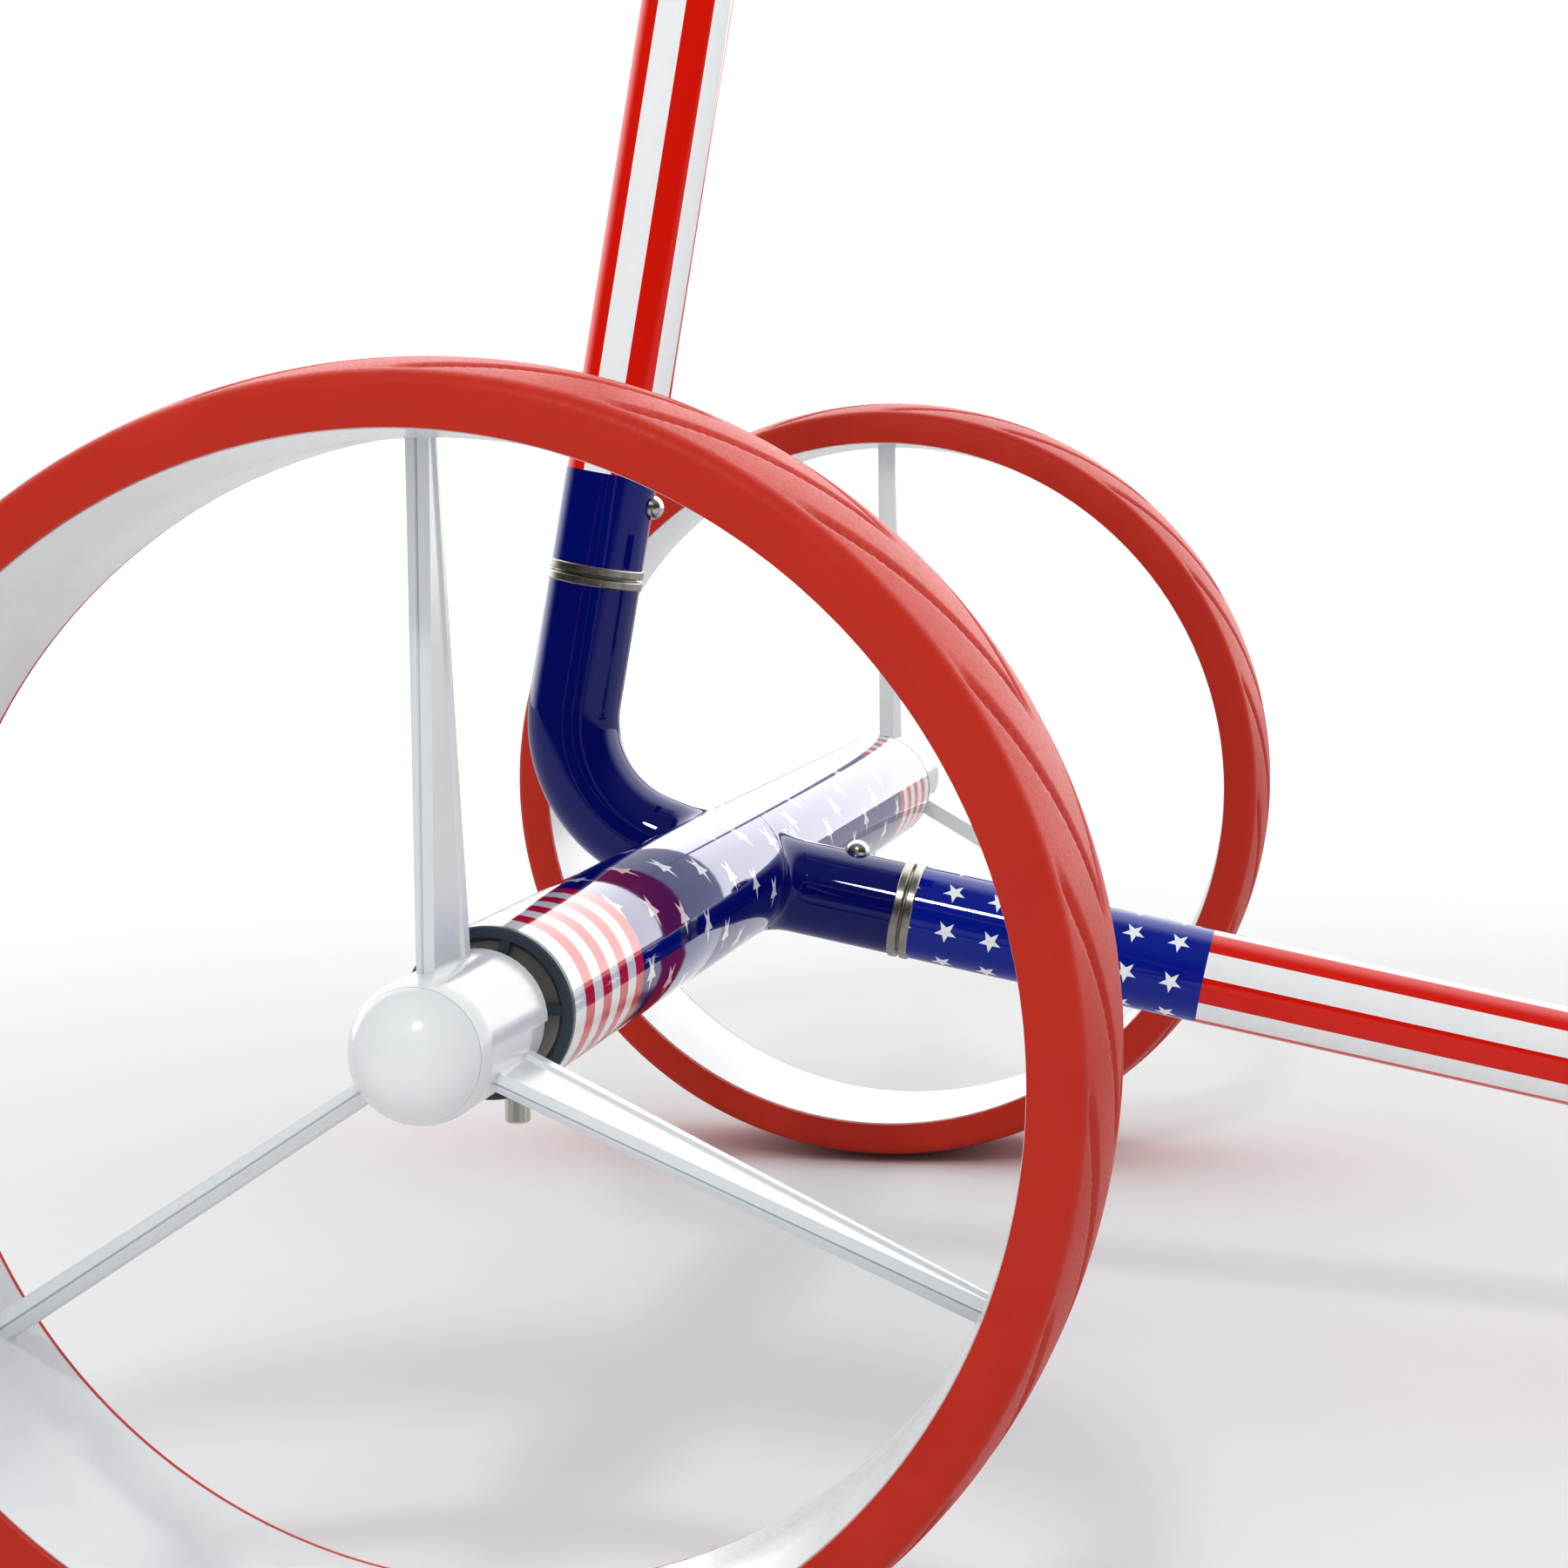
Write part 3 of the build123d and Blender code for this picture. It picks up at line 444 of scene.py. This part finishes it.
finishes = {
    "lower_tube": lowerFilm(), "upper_tube": upperFilm(), "cross_tube": crossFilm(),
    "elbow_tube": navyEnamel["material"], "lower_stub": navyEnamel["material"],
    "handle_stem": navyEnamel["material"], "handle_bar": navyEnamel["material"],
    "elbow_ring": upperRingSteel["material"], "upper_tube_ring": upperRingSteel["material"],
    "stub_ring": lowerRingSteel["material"], "lower_tube_ring": lowerRingSteel["material"],
    "upper_clamp": castAluminium["material"], "lower_clamp": castAluminium["material"],
    "upper_spigot": castAluminium["material"], "lower_spigot": castAluminium["material"],
    "handle_eye": castAluminium["material"], "handle_fork": blackNylon["material"],
    "handle_knob": blackNylon["material"], "bag_shelf": blackNylon["material"],
    "upper_cradle": whiteCoat["material"], "lower_cradle": whiteCoat["material"],
    "upper_strap_hooks": polishedSteel["material"], "lower_strap_hooks": polishedSteel["material"],
    "upper_snap_button": polishedSteel["material"], "lower_snap_button": polishedSteel["material"],
    "upper_button_spring": springSteel["material"], "lower_button_spring": springSteel["material"],
    "pivot_bolt": polishedSteel["material"], "foot": footRubber["material"],
    "upper_cradle_pads": padFoam["material"], "lower_cradle_pads": padFoam["material"],
    "upper_strap": padFoam["material"], "lower_strap": padFoam["material"],
}
for side in ("left", "right"):
    finishes[side + "_wheel"] = whiteNylon["material"]
    finishes[side + "_hub_cap"] = whiteNylon["material"]
    finishes[side + "_tyre"] = redTyre["material"]
    finishes[side + "_wheel_axle"] = polishedSteel["material"]
    finishes[side + "_axle_nut"] = polishedSteel["material"]
    finishes[side + "_end_ring"] = greyNylon["material"]
    finishes[side + "_bearing_carrier"] = castAluminium["material"]
    finishes[side + "_outer_bearing"] = polishedSteel["material"]
    finishes[side + "_inner_bearing"] = polishedSteel["material"]
    finishes[side + "_release_plunger"] = polishedSteel["material"]
    finishes[side + "_plunger_spring"] = springSteel["material"]
    finishes[side + "_grip"] = gripRubber["material"]
    finishes[side + "_bar_cap"] = blackNylon["material"]
for node, material in finishes.items():
    slots = frame["nodes"][node].data.materials
    slots.clear()
    slots.append(material)
print("finishes on", len(finishes), "of", len(frame["nodes"]), "nodes")


# the two tyres
# lengths in mm, angles in degrees
tyreLook = {"steps": 400, "grooves": 20, "bead": 129.9, "seat": 131.8, "lip": 2.5, "half": 36.7, "sideTop": 137.6,
            "bulge": 0.5, "sidePoints": 7, "shoulder": 4.2, "shoulderPoints": 8, "shoulderShare": 0.86,
            "crownPower": 2.2, "grooveTurn": 24.0, "grooveHalf": 2.6, "grooveFade": 5.0, "middleFade": 3.0,
            "depth": 1.7, "treadPoints": 72}


def tyreSection(turn):
    # long slanting grooves run from each shoulder to the middle of the tread and overlap like a rope's strands
    look = tyreLook
    top = (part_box("right_tyre")[1].z - axle.z) / mm
    half, lip, bulge, shoulder = look["half"], look["lip"], look["bulge"], look["shoulder"]
    inner = [(look["bead"], half - bulge), (look["bead"], half - lip), (look["seat"], half - lip)]
    inner = inner + [(radius, -across) for radius, across in reversed(inner)]
    side = []
    for step in range(1, look["sidePoints"]):
        part = step / look["sidePoints"]
        side.append((look["bead"] + part * (look["sideTop"] - look["bead"]),
                     half - bulge + bulge * math.sin(math.pi * part)))
    for step in range(look["shoulderPoints"] + 1):
        angle = math.pi / 2 * step / look["shoulderPoints"] * look["shoulderShare"]
        side.append((look["sideTop"] + shoulder * math.sin(angle),
                     half - bulge - shoulder + shoulder * math.cos(angle)))
    rise, edge = side[-1]
    pitch = 360 / look["grooves"]
    degrees = math.degrees(turn)
    tread = []
    for step in range(1, look["treadPoints"]):
        across = -edge + 2 * edge * step / look["treadPoints"]
        crown = rise + (top - rise) * (1 - (abs(across) / edge) ** look["crownPower"])
        fromEdge = edge - abs(across)
        start = degrees + look["grooveTurn"] * fromEdge / edge
        off = abs((start / pitch + 0.5) % 1 - 0.5) * pitch
        slope = math.hypot(look["grooveTurn"] / edge, 360 / (2 * math.pi * top))
        near = 1 - off / slope / look["grooveHalf"]
        fade = smoothStep(fromEdge / look["grooveFade"]) * smoothStep(abs(across) / look["middleFade"])
        tread.append((crown - look["depth"] * smoothStep(near) * fade, across))
    return inner + [(radius, -across) for radius, across in side] + tread + list(reversed(side))


def makeTyre(side):
    middle = Vector((axle.x, middleOf(side + "_tyre").y, axle.z))
    sections = []
    for step in range(tyreLook["steps"]):
        turn = 2 * math.pi * step / tyreLook["steps"]
        out = Vector((math.cos(turn), 0, math.sin(turn)))
        sections.append([middle + out * radius * mm + Vector((0, across * mm, 0))
                         for radius, across in tyreSection(turn)])
    piece = ringPiece(sections)
    settle(piece, side + "_tyre_rubber", side + "_wheel_body", redTyre["material"], [side + "_tyre"])


for side in ("left", "right"):
    makeTyre(side)
print("tyres made")


# rounded copies of the parts with hard edges
# lengths in metres, angles in degrees
softenLook = {"angle": 32, "segments": 2, "merge": 0.00001, "flat": 1.0, "smooth": 40,
              "sliver": 0.000004, "degenerate": 0.000002}


def soften(node, name, body, width):
    # a copy of a model's node with its doubles merged and its hard edges rounded
    look = softenLook
    piece = frame["nodes"][node].copy()
    piece.data = frame["nodes"][node].data.copy()
    for key in list(piece.keys()):
        del piece[key]
    piece.parent = None
    bpy.context.scene.collection.objects.link(piece)
    makeActive(piece)
    bpy.ops.mesh.customdata_custom_splitnormals_clear()
    bpy.ops.object.mode_set(mode="EDIT")
    bpy.ops.mesh.select_all(action="SELECT")
    bpy.ops.mesh.remove_doubles(threshold=look["merge"])
    bpy.ops.mesh.dissolve_limited(angle_limit=math.radians(look["flat"]))
    bpy.ops.object.mode_set(mode="OBJECT")
    bevel = piece.modifiers.new("edges", "BEVEL")
    bevel.width = width * mm
    bevel.segments = look["segments"]
    bevel.limit_method = "ANGLE"
    bevel.angle_limit = math.radians(look["angle"])
    bevel.harden_normals = False
    applyAll(piece)
    bpy.ops.object.mode_set(mode="EDIT")
    bpy.ops.mesh.select_all(action="SELECT")
    bpy.ops.mesh.quads_convert_to_tris(quad_method="BEAUTY", ngon_method="BEAUTY")
    bpy.ops.mesh.remove_doubles(threshold=look["sliver"])
    bpy.ops.mesh.dissolve_degenerate(threshold=look["degenerate"])
    bpy.ops.object.mode_set(mode="OBJECT")
    settle(piece, name, body, finishes[node], [node], look["smooth"])
    # large faces lead the shading, so the wide curved walls stay even
    shading = piece.modifiers.new("shading", "WEIGHTED_NORMAL")
    shading.keep_sharp = True
    applyAll(piece)


# weld beads
weldLook = {"reach": 5.5, "bury": 0.35, "steps": 96, "curve": 8, "tube": 13.9, "cross": 19.7, "proud": 0.02,
            "elbow": (-53.8, 0, 20.0)}   # the elbow's first straight, from the axle, in mm


def onTube(way, turn, radius, height):
    # a spot beside a tube's line: so far round it, so far out and so far along, in mm
    aside = Vector((way.z, 0, -way.x))
    return axle + (way * height + aside * radius * math.cos(turn) + Vector((0, radius * math.sin(turn), 0))) * mm


def touchHeight(turn, radius, cross):
    # how far along the tube's line a spot on it meets the cross tube's wall
    return math.sqrt(max(0.0, cross ** 2 - (radius * math.cos(turn)) ** 2))


def weldFillet(name, way):
    # a smooth painted bead in the corner between a frame tube and the cross tube
    look = weldLook
    tube, cross, reach, bury = look["tube"], look["cross"], look["reach"], look["bury"]
    wide, under = tube + reach, tube - bury
    sections = []
    for step in range(look["steps"]):
        turn = 2 * math.pi * step / look["steps"]
        root = touchHeight(turn, tube, cross)
        high = onTube(way, turn, tube + look["proud"], root + reach)
        corner = onTube(way, turn, tube, root)
        low = onTube(way, turn, wide, touchHeight(turn, wide, cross + look["proud"]))
        section = []
        for part in range(look["curve"] + 1):
            t = part / look["curve"]
            section.append(high * (1 - t) ** 2 + corner * 2 * t * (1 - t) + low * t ** 2)
        section.append(onTube(way, turn, wide, touchHeight(turn, wide, cross - bury)))
        section.append(onTube(way, turn, under, touchHeight(turn, under, cross - bury)))
        section.append(onTube(way, turn, under, root + reach))
        sections.append(section)
    piece = ringPiece(sections)
    settle(piece, name, "frame", navyEnamel["material"], (), 60)


weldFillet("elbow_weld", Vector(weldLook["elbow"]).normalized())
weldFillet("stub_weld", lowerWay)
print("welds made")

# body, slot and the width of the rounding in mm
softened = {
    "upper_cradle": ("frame", "white_paint", 0.9), "lower_cradle": ("frame", "white_paint", 0.9),
    "handle_fork": ("handle_body", "dark_plastic", 1.0), "handle_eye": ("frame", "alloy", 0.8),
    "handle_knob": ("knob_body", "dark_plastic", 1.2), "bag_shelf": ("frame", "dark_plastic", 1.4),
    "foot": ("frame", "pad_rubber", 1.2), "upper_clamp": ("frame", "alloy", 0.8),
    "lower_clamp": ("frame", "alloy", 0.8), "upper_strap_hooks": ("frame", "steel", 0.5),
    "lower_strap_hooks": ("frame", "steel", 0.5), "pivot_bolt": ("frame", "steel", 0.5),
    "left_wheel": ("left_wheel_body", "wheel_white", 0.35), "right_wheel": ("right_wheel_body", "wheel_white", 0.35),
}
for node, (body, slotName, width) in softened.items():
    soften(node, node + "_rounded", body, width)
print("hard edges rounded")


# grips
gripLook = {"bore": 11.03, "radius": 15.5, "ribs": 13, "ribDepth": 0.9, "plain": 9.0, "edge": 2.2,
            "inset": 0.6, "ribPower": 0.8, "points": 130}


def makeGrip(side):
    # a push-on rubber grip with round ribs for the fingers
    look = gripLook
    low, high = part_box(side + "_grip")
    middle = (low + high) / 2
    half = (high.y - low.y) / 2 / mm
    profile = [(look["bore"], half - look["inset"]), (look["bore"], -half + look["inset"])]
    for step in range(look["points"] + 1):
        along = -half + 2 * half * step / look["points"]
        fromEnd = half - abs(along)
        radius = look["radius"]
        if fromEnd < look["edge"]:
            radius -= look["edge"] * (1 - math.sqrt(max(0.0, 1 - (1 - fromEnd / look["edge"]) ** 2)))
        if fromEnd > look["plain"]:
            beat = math.cos(math.pi * look["ribs"] * along / (half - look["plain"]))
            radius -= look["ribDepth"] * max(0.0, -beat) ** look["ribPower"]
        profile.append((radius, along))
    profile = [(radius * mm, along * mm) for radius, along in profile]
    piece = turnedPiece(profile, middle)
    settle(piece, side + "_grip_rubber", "handle_body", gripRubber["material"], [side + "_grip"])


for side in ("left", "right"):
    makeGrip(side)
print("grips made")


# pads and straps of the bag rests
def loftPiece(sections):
    # a closed form through sections with the same number of points, capped at both ends
    size = len(sections[0])
    points = [point for section in sections for point in section]
    faces = [tuple(range(size - 1, -1, -1)), tuple(range(len(points) - size, len(points)))]
    for row in range(len(sections) - 1):
        for column in range(size):
            beside = (column + 1) % size
            faces.append((row * size + column, row * size + beside,
                          (row + 1) * size + beside, (row + 1) * size + column))
    mesh = bpy.data.meshes.new("loft")
    mesh.from_pydata(points, [], faces)
    piece = bpy.data.objects.new("loft", mesh)
    bpy.context.scene.collection.objects.link(piece)
    facingOut(piece)
    return piece


restLook = {"strapPlace": -50.21, "seat": 118.95, "thick": 3.9, "padStart": 118.0, "padAngle": 26.0,
            "padHeight": 25.0, "steps": 48, "around": 40, "channel": 6.5, "channelHalf": 0.9, "channelDepth": 0.28,
            "corner": 0.35, "crown": 0.5, "rimPower": 7, "rimLeast": 0.02, "rimPull": 0.1, "trim": 0.995}


def makePad(level, side, hand):
    # a foam pad stuck in the cradle's tip: crowned, pulled in at its rim, with two pressed channels
    look = restLook
    middle = middleOf(level + "_strap") - bagOut * look["strapPlace"] * mm
    sections = []
    for step in range(look["steps"] + 1):
        part = 2 * step / look["steps"] - 1
        squeeze = max(look["rimLeast"], (1 - abs(part) ** look["rimPower"]) ** (1 / 3))
        angle = math.radians(look["padStart"] + look["padAngle"] * (part * look["trim"] + 1) / 2)
        out = bagOut * math.cos(angle) + Vector((0, hand * math.sin(angle), 0))
        section = []
        for spot in range(look["around"]):
            turn = 2 * math.pi * spot / look["around"]
            flat, deep = math.cos(turn), math.sin(turn)
            along = math.copysign(abs(flat) ** look["corner"], flat) * look["padHeight"] / 2
            along *= 1 - look["rimPull"] * (1 - squeeze)
            inward = (math.copysign(abs(deep) ** look["crown"], deep) + 1) / 2 * look["thick"] * squeeze
            if deep > 0:
                press = math.exp(-((abs(along) - look["channel"]) / look["channelHalf"]) ** 2)
                inward *= 1 - look["channelDepth"] * press
            section.append(middle + out * (look["seat"] - inward) * mm + bagWay * along * mm)
        sections.append(section)
    piece = loftPiece(sections)
    settle(piece, level + "_" + side + "_pad", "frame", padFoam["material"],
           [level + "_cradle_pads"], 60)


springLook = {"wire": 0.45, "turns": 3.0, "travel": 2.0, "steps": 90, "around": 10}


def makeSpring(side):
    # a short coil of steel wire under the plunger's collar
    look = springLook
    low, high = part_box(side + "_plunger_spring")
    wire = look["wire"] * mm
    radius = (high.x - low.x) / 2 - wire
    middle = (low + high) / 2
    sections = []
    for step in range(look["steps"] + 1):
        part = step / look["steps"]
        turn = 2 * math.pi * look["turns"] * part
        out = Vector((math.cos(turn), math.sin(turn), 0))
        lift = low.z + wire + (high.z - low.z - 2 * wire) * part
        center = Vector((middle.x, middle.y, lift)) + out * radius
        sections.append([center + (out * math.cos(spot) + Vector((0, 0, math.sin(spot)))) * wire
                         for spot in (2 * math.pi * n / look["around"] for n in range(look["around"]))])
    piece = loftPiece(sections)
    settle(piece, side + "_plunger_coil", "frame", springSteel["material"], [side + "_plunger_spring"])
    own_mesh(piece)


for side in ("left", "right"):
    makeSpring(side)
print("plunger springs made")


def wovenElastic(name, middle):
    # ribbed elastic webbing: black rubber core under dark blue polyester, ribs 1.5 mm apart across the strap
    finish = surface({"name": name, "middle": middle, "turn": bagTurn, "colors": ("#12162e", "#1a2044"),
                      "cloudSize": 9, "grainSize": 0.4, "roughness": (0.6, 0.8), "relief": 0.03})
    tree = finish["tree"]
    perMm = 0.314   # a wave texture at this scale has one band to the mm
    ribs = addNode(tree, "TexWave", {"wave_type": "BANDS", "bands_direction": "Y"}, {
        "Vector": finish["place"].outputs[0], "Scale": perMm / 1.5, "Distortion": 0.4, "Detail": 1.0})
    threads = addNode(tree, "TexWave", {"wave_type": "BANDS", "bands_direction": "Z"}, {
        "Vector": finish["place"].outputs[0], "Scale": perMm / 1.1, "Distortion": 0.3, "Detail": 1.0})
    weave = addNode(tree, "Math", {"operation": "MULTIPLY"}, {0: ribs.outputs["Fac"], 1: threads.outputs["Fac"]})
    lit = addNode(tree, "Mix", {"data_type": "RGBA"}, {
        0: weave.outputs[0], 6: finish["color"].outputs[2], 7: linearColor("#3a4474")})
    tree.links.new(lit.outputs[2], finish["shader"].inputs["Base Color"])
    raised = addNode(tree, "Bump", None, {
        "Height": weave.outputs[0], "Distance": 0.3 * mm, "Strength": 1.0, "Normal": finish["relief"].outputs[0]})
    tree.links.new(raised.outputs[0], finish["shader"].inputs["Normal"])
    finish["shader"].inputs["Sheen Weight"].default_value = 0.25
    return finish["material"]


strapLook = {"width": 25.0, "length": 217.0, "thick": 1.3, "hem": 17.0, "hemThick": 2.0, "hemRamp": 1.5,
             "stitchRows": (4.5, 13.0), "stitchHalf": 0.7, "stitchDepth": 0.45, "endRound": 1.2, "endLeast": 0.35,
             "waist": 0.25, "waistPitch": 60, "corner": 0.25, "belly": 0.6, "steps": 180, "around": 28}


def makeStrap(level):
    # flat elastic pulled straight from hook to hook, with its ends turned back and sewn
    look = strapLook
    middle = middleOf(level + "_strap")
    sections = []
    for step in range(look["steps"] + 1):
        along = look["length"] * (step / look["steps"] - 0.5)
        fromEnd = look["length"] / 2 - abs(along)
        thick = look["thick"] + (look["hemThick"] - look["thick"]) * smoothStep(
            (look["hem"] - fromEnd) / look["hemRamp"])
        if any(abs(fromEnd - row) < look["stitchHalf"] for row in look["stitchRows"]):
            thick -= look["stitchDepth"]   # the two rows of stitching pull the webbing in
        thick *= look["endLeast"] + (1 - look["endLeast"]) * smoothStep(fromEnd / look["endRound"])
        half = look["width"] / 2 - look["waist"] * (1 - math.cos(2 * math.pi * along / look["waistPitch"])) / 2
        section = []
        for spot in range(look["around"]):
            turn = 2 * math.pi * spot / look["around"]
            flat, deep = math.cos(turn), math.sin(turn)
            across = math.copysign(abs(flat) ** look["corner"], flat) * half
            out = math.copysign(abs(deep) ** look["belly"], deep) * thick / 2
            section.append(middle + (bagWay * across + bagOut * out + Vector((0, along, 0))) * mm)
        sections.append(section)
    piece = loftPiece(sections)
    settle(piece, level + "_strap_webbing", "frame",
           wovenElastic("woven" + level.capitalize() + "Strap", middle), [level + "_strap"], 50)


for level in ("upper", "lower"):
    makePad(level, "left", 1)
    makePad(level, "right", -1)
    makeStrap(level)
print("pads and straps made")

# floor and light
stageLook = {"floor": ("#efeff0", "#f4f4f5"), "keyWay": (0.06, -0.75, 0.65), "keyAway": 1.9, "keySize": 0.22,
             "keyPower": 6.0, "dark": 0.06, "bright": 2.5, "top": 0.3, "soft": (0.82, 1.0),
             "seen": 1.15, "fade": (300, 2600), "glow": 0.5, "dim": (-500, -1200), "paintedMirrorShade": "#3c3c3d",
             "size": 80, "shineWay": (-0.05, 0.45), "shineUp": (0.3, 0.85)}
bpy.ops.mesh.primitive_plane_add(size=stageLook["size"], location=(0, 0, 0))
floor = bpy.context.object
floor.name = "studioFloor"
# matt seamless paper: pale, even, and lit brighter towards the back
paper = surface({"name": "mattSeamlessPaper", "colors": stageLook["floor"], "cloudSize": 400, "grainSize": 6,
                 "roughness": (0.85, 0.95), "relief": 0.0, "ior": 1.3})
# the paper gets its own light far from the object, so it fades into the white behind
away = addNode(paper["tree"], "VectorMath", {"operation": "LENGTH"}, {0: paper["place"].outputs[0]})
glow = addNode(paper["tree"], "MapRange", {"interpolation_type": "SMOOTHSTEP"}, {
    "Value": away.outputs["Value"], "From Min": stageLook["fade"][0], "From Max": stageLook["fade"][1],
    "To Min": 0.0, "To Max": stageLook["glow"]})
paperTree = paper["tree"]
raySort = addNode(paperTree, "LightPath")
unshone = addNode(paperTree, "Math", {"operation": "SUBTRACT"}, {0: 1.0, 1: raySort.outputs["Is Glossy Ray"]})
glowSeen = addNode(paperTree, "Math", {"operation": "MULTIPLY"}, {0: glow.outputs[0], 1: unshone.outputs[0]})
paperTree.links.new(glowSeen.outputs[0], paper["shader"].inputs["Emission Strength"])
# painted shade in reflections: in front of the object the paper turns dark grey only for mirrored rays, so the
# lacquer mirrors dark paper there while the paper stays pale to the camera
paperParts = addNode(paperTree, "SeparateXYZ", None, {0: paper["place"].outputs[0]})
dim = addNode(paperTree, "MapRange", {"interpolation_type": "SMOOTHSTEP"}, {
    "Value": paperParts.outputs[1], "From Min": stageLook["dim"][0], "From Max": stageLook["dim"][1]})
dimShine = addNode(paperTree, "Math", {"operation": "MULTIPLY"}, {
    0: dim.outputs[0], 1: raySort.outputs["Is Glossy Ray"]})
paintedMirrorShade = addNode(paperTree, "Mix", {"data_type": "RGBA"}, {
    0: dimShine.outputs[0], 6: paper["color"].outputs[2], 7: linearColor(stageLook["paintedMirrorShade"])})
paperTree.links.new(paintedMirrorShade.outputs[2], paper["shader"].inputs["Base Color"])
paper["shader"].inputs["Emission Color"].default_value = linearColor("#ffffff")
floor.data.materials.append(paper["material"])
keyWay = Vector(stageLook["keyWay"]).normalized()
bpy.ops.object.light_add(type="AREA", location=axle + keyWay * stageLook["keyAway"])
key = bpy.context.object
key.data.shape = "DISK"
key.data.size = stageLook["keySize"]
key.data.energy = stageLook["keyPower"]
key.rotation_euler = keyWay.to_track_quat("Z", "Y").to_euler()
world = bpy.data.worlds.new("studioWorld")
bpy.context.scene.world = world
world.use_nodes = True
skyTree = world.node_tree
# soft light from everywhere, but what shines back is a bright wall behind and a dim room in front
skyWhere = addNode(skyTree, "TexCoord")
skyParts = addNode(skyTree, "SeparateXYZ", None, {0: skyWhere.outputs["Generated"]})
shine = addNode(skyTree, "MapRange", {"interpolation_type": "SMOOTHSTEP"}, {
    "Value": skyParts.outputs[1], "From Min": stageLook["shineWay"][0], "From Max": stageLook["shineWay"][1],
    "To Min": stageLook["dark"], "To Max": stageLook["bright"]})
shineTop = addNode(skyTree, "MapRange", {"interpolation_type": "SMOOTHSTEP"}, {
    "Value": skyParts.outputs[2], "From Min": stageLook["shineUp"][0], "From Max": stageLook["shineUp"][1],
    "To Min": 0.0, "To Max": stageLook["top"]})
shineBoth = addNode(skyTree, "Math", {"operation": "ADD"}, {0: shine.outputs[0], 1: shineTop.outputs[0]})
softLight = addNode(skyTree, "MapRange", None, {
    "Value": skyParts.outputs[1], "From Min": -1.0, "From Max": 1.0,
    "To Min": stageLook["soft"][0], "To Max": stageLook["soft"][1]})
rayKind = addNode(skyTree, "LightPath")
skyLevel = addNode(skyTree, "Mix", {"data_type": "FLOAT"}, {
    0: rayKind.outputs["Is Glossy Ray"], 2: softLight.outputs[0], 3: shineBoth.outputs[0]})
skySeen = addNode(skyTree, "Mix", {"data_type": "FLOAT"}, {
    0: rayKind.outputs["Is Camera Ray"], 2: skyLevel.outputs[0], 3: stageLook["seen"]})
skyTree.links.new(skySeen.outputs[0], skyTree.nodes["Background"].inputs["Strength"])
skyTree.nodes["Background"].inputs["Color"].default_value = linearColor("#ffffff")
print("stage set")
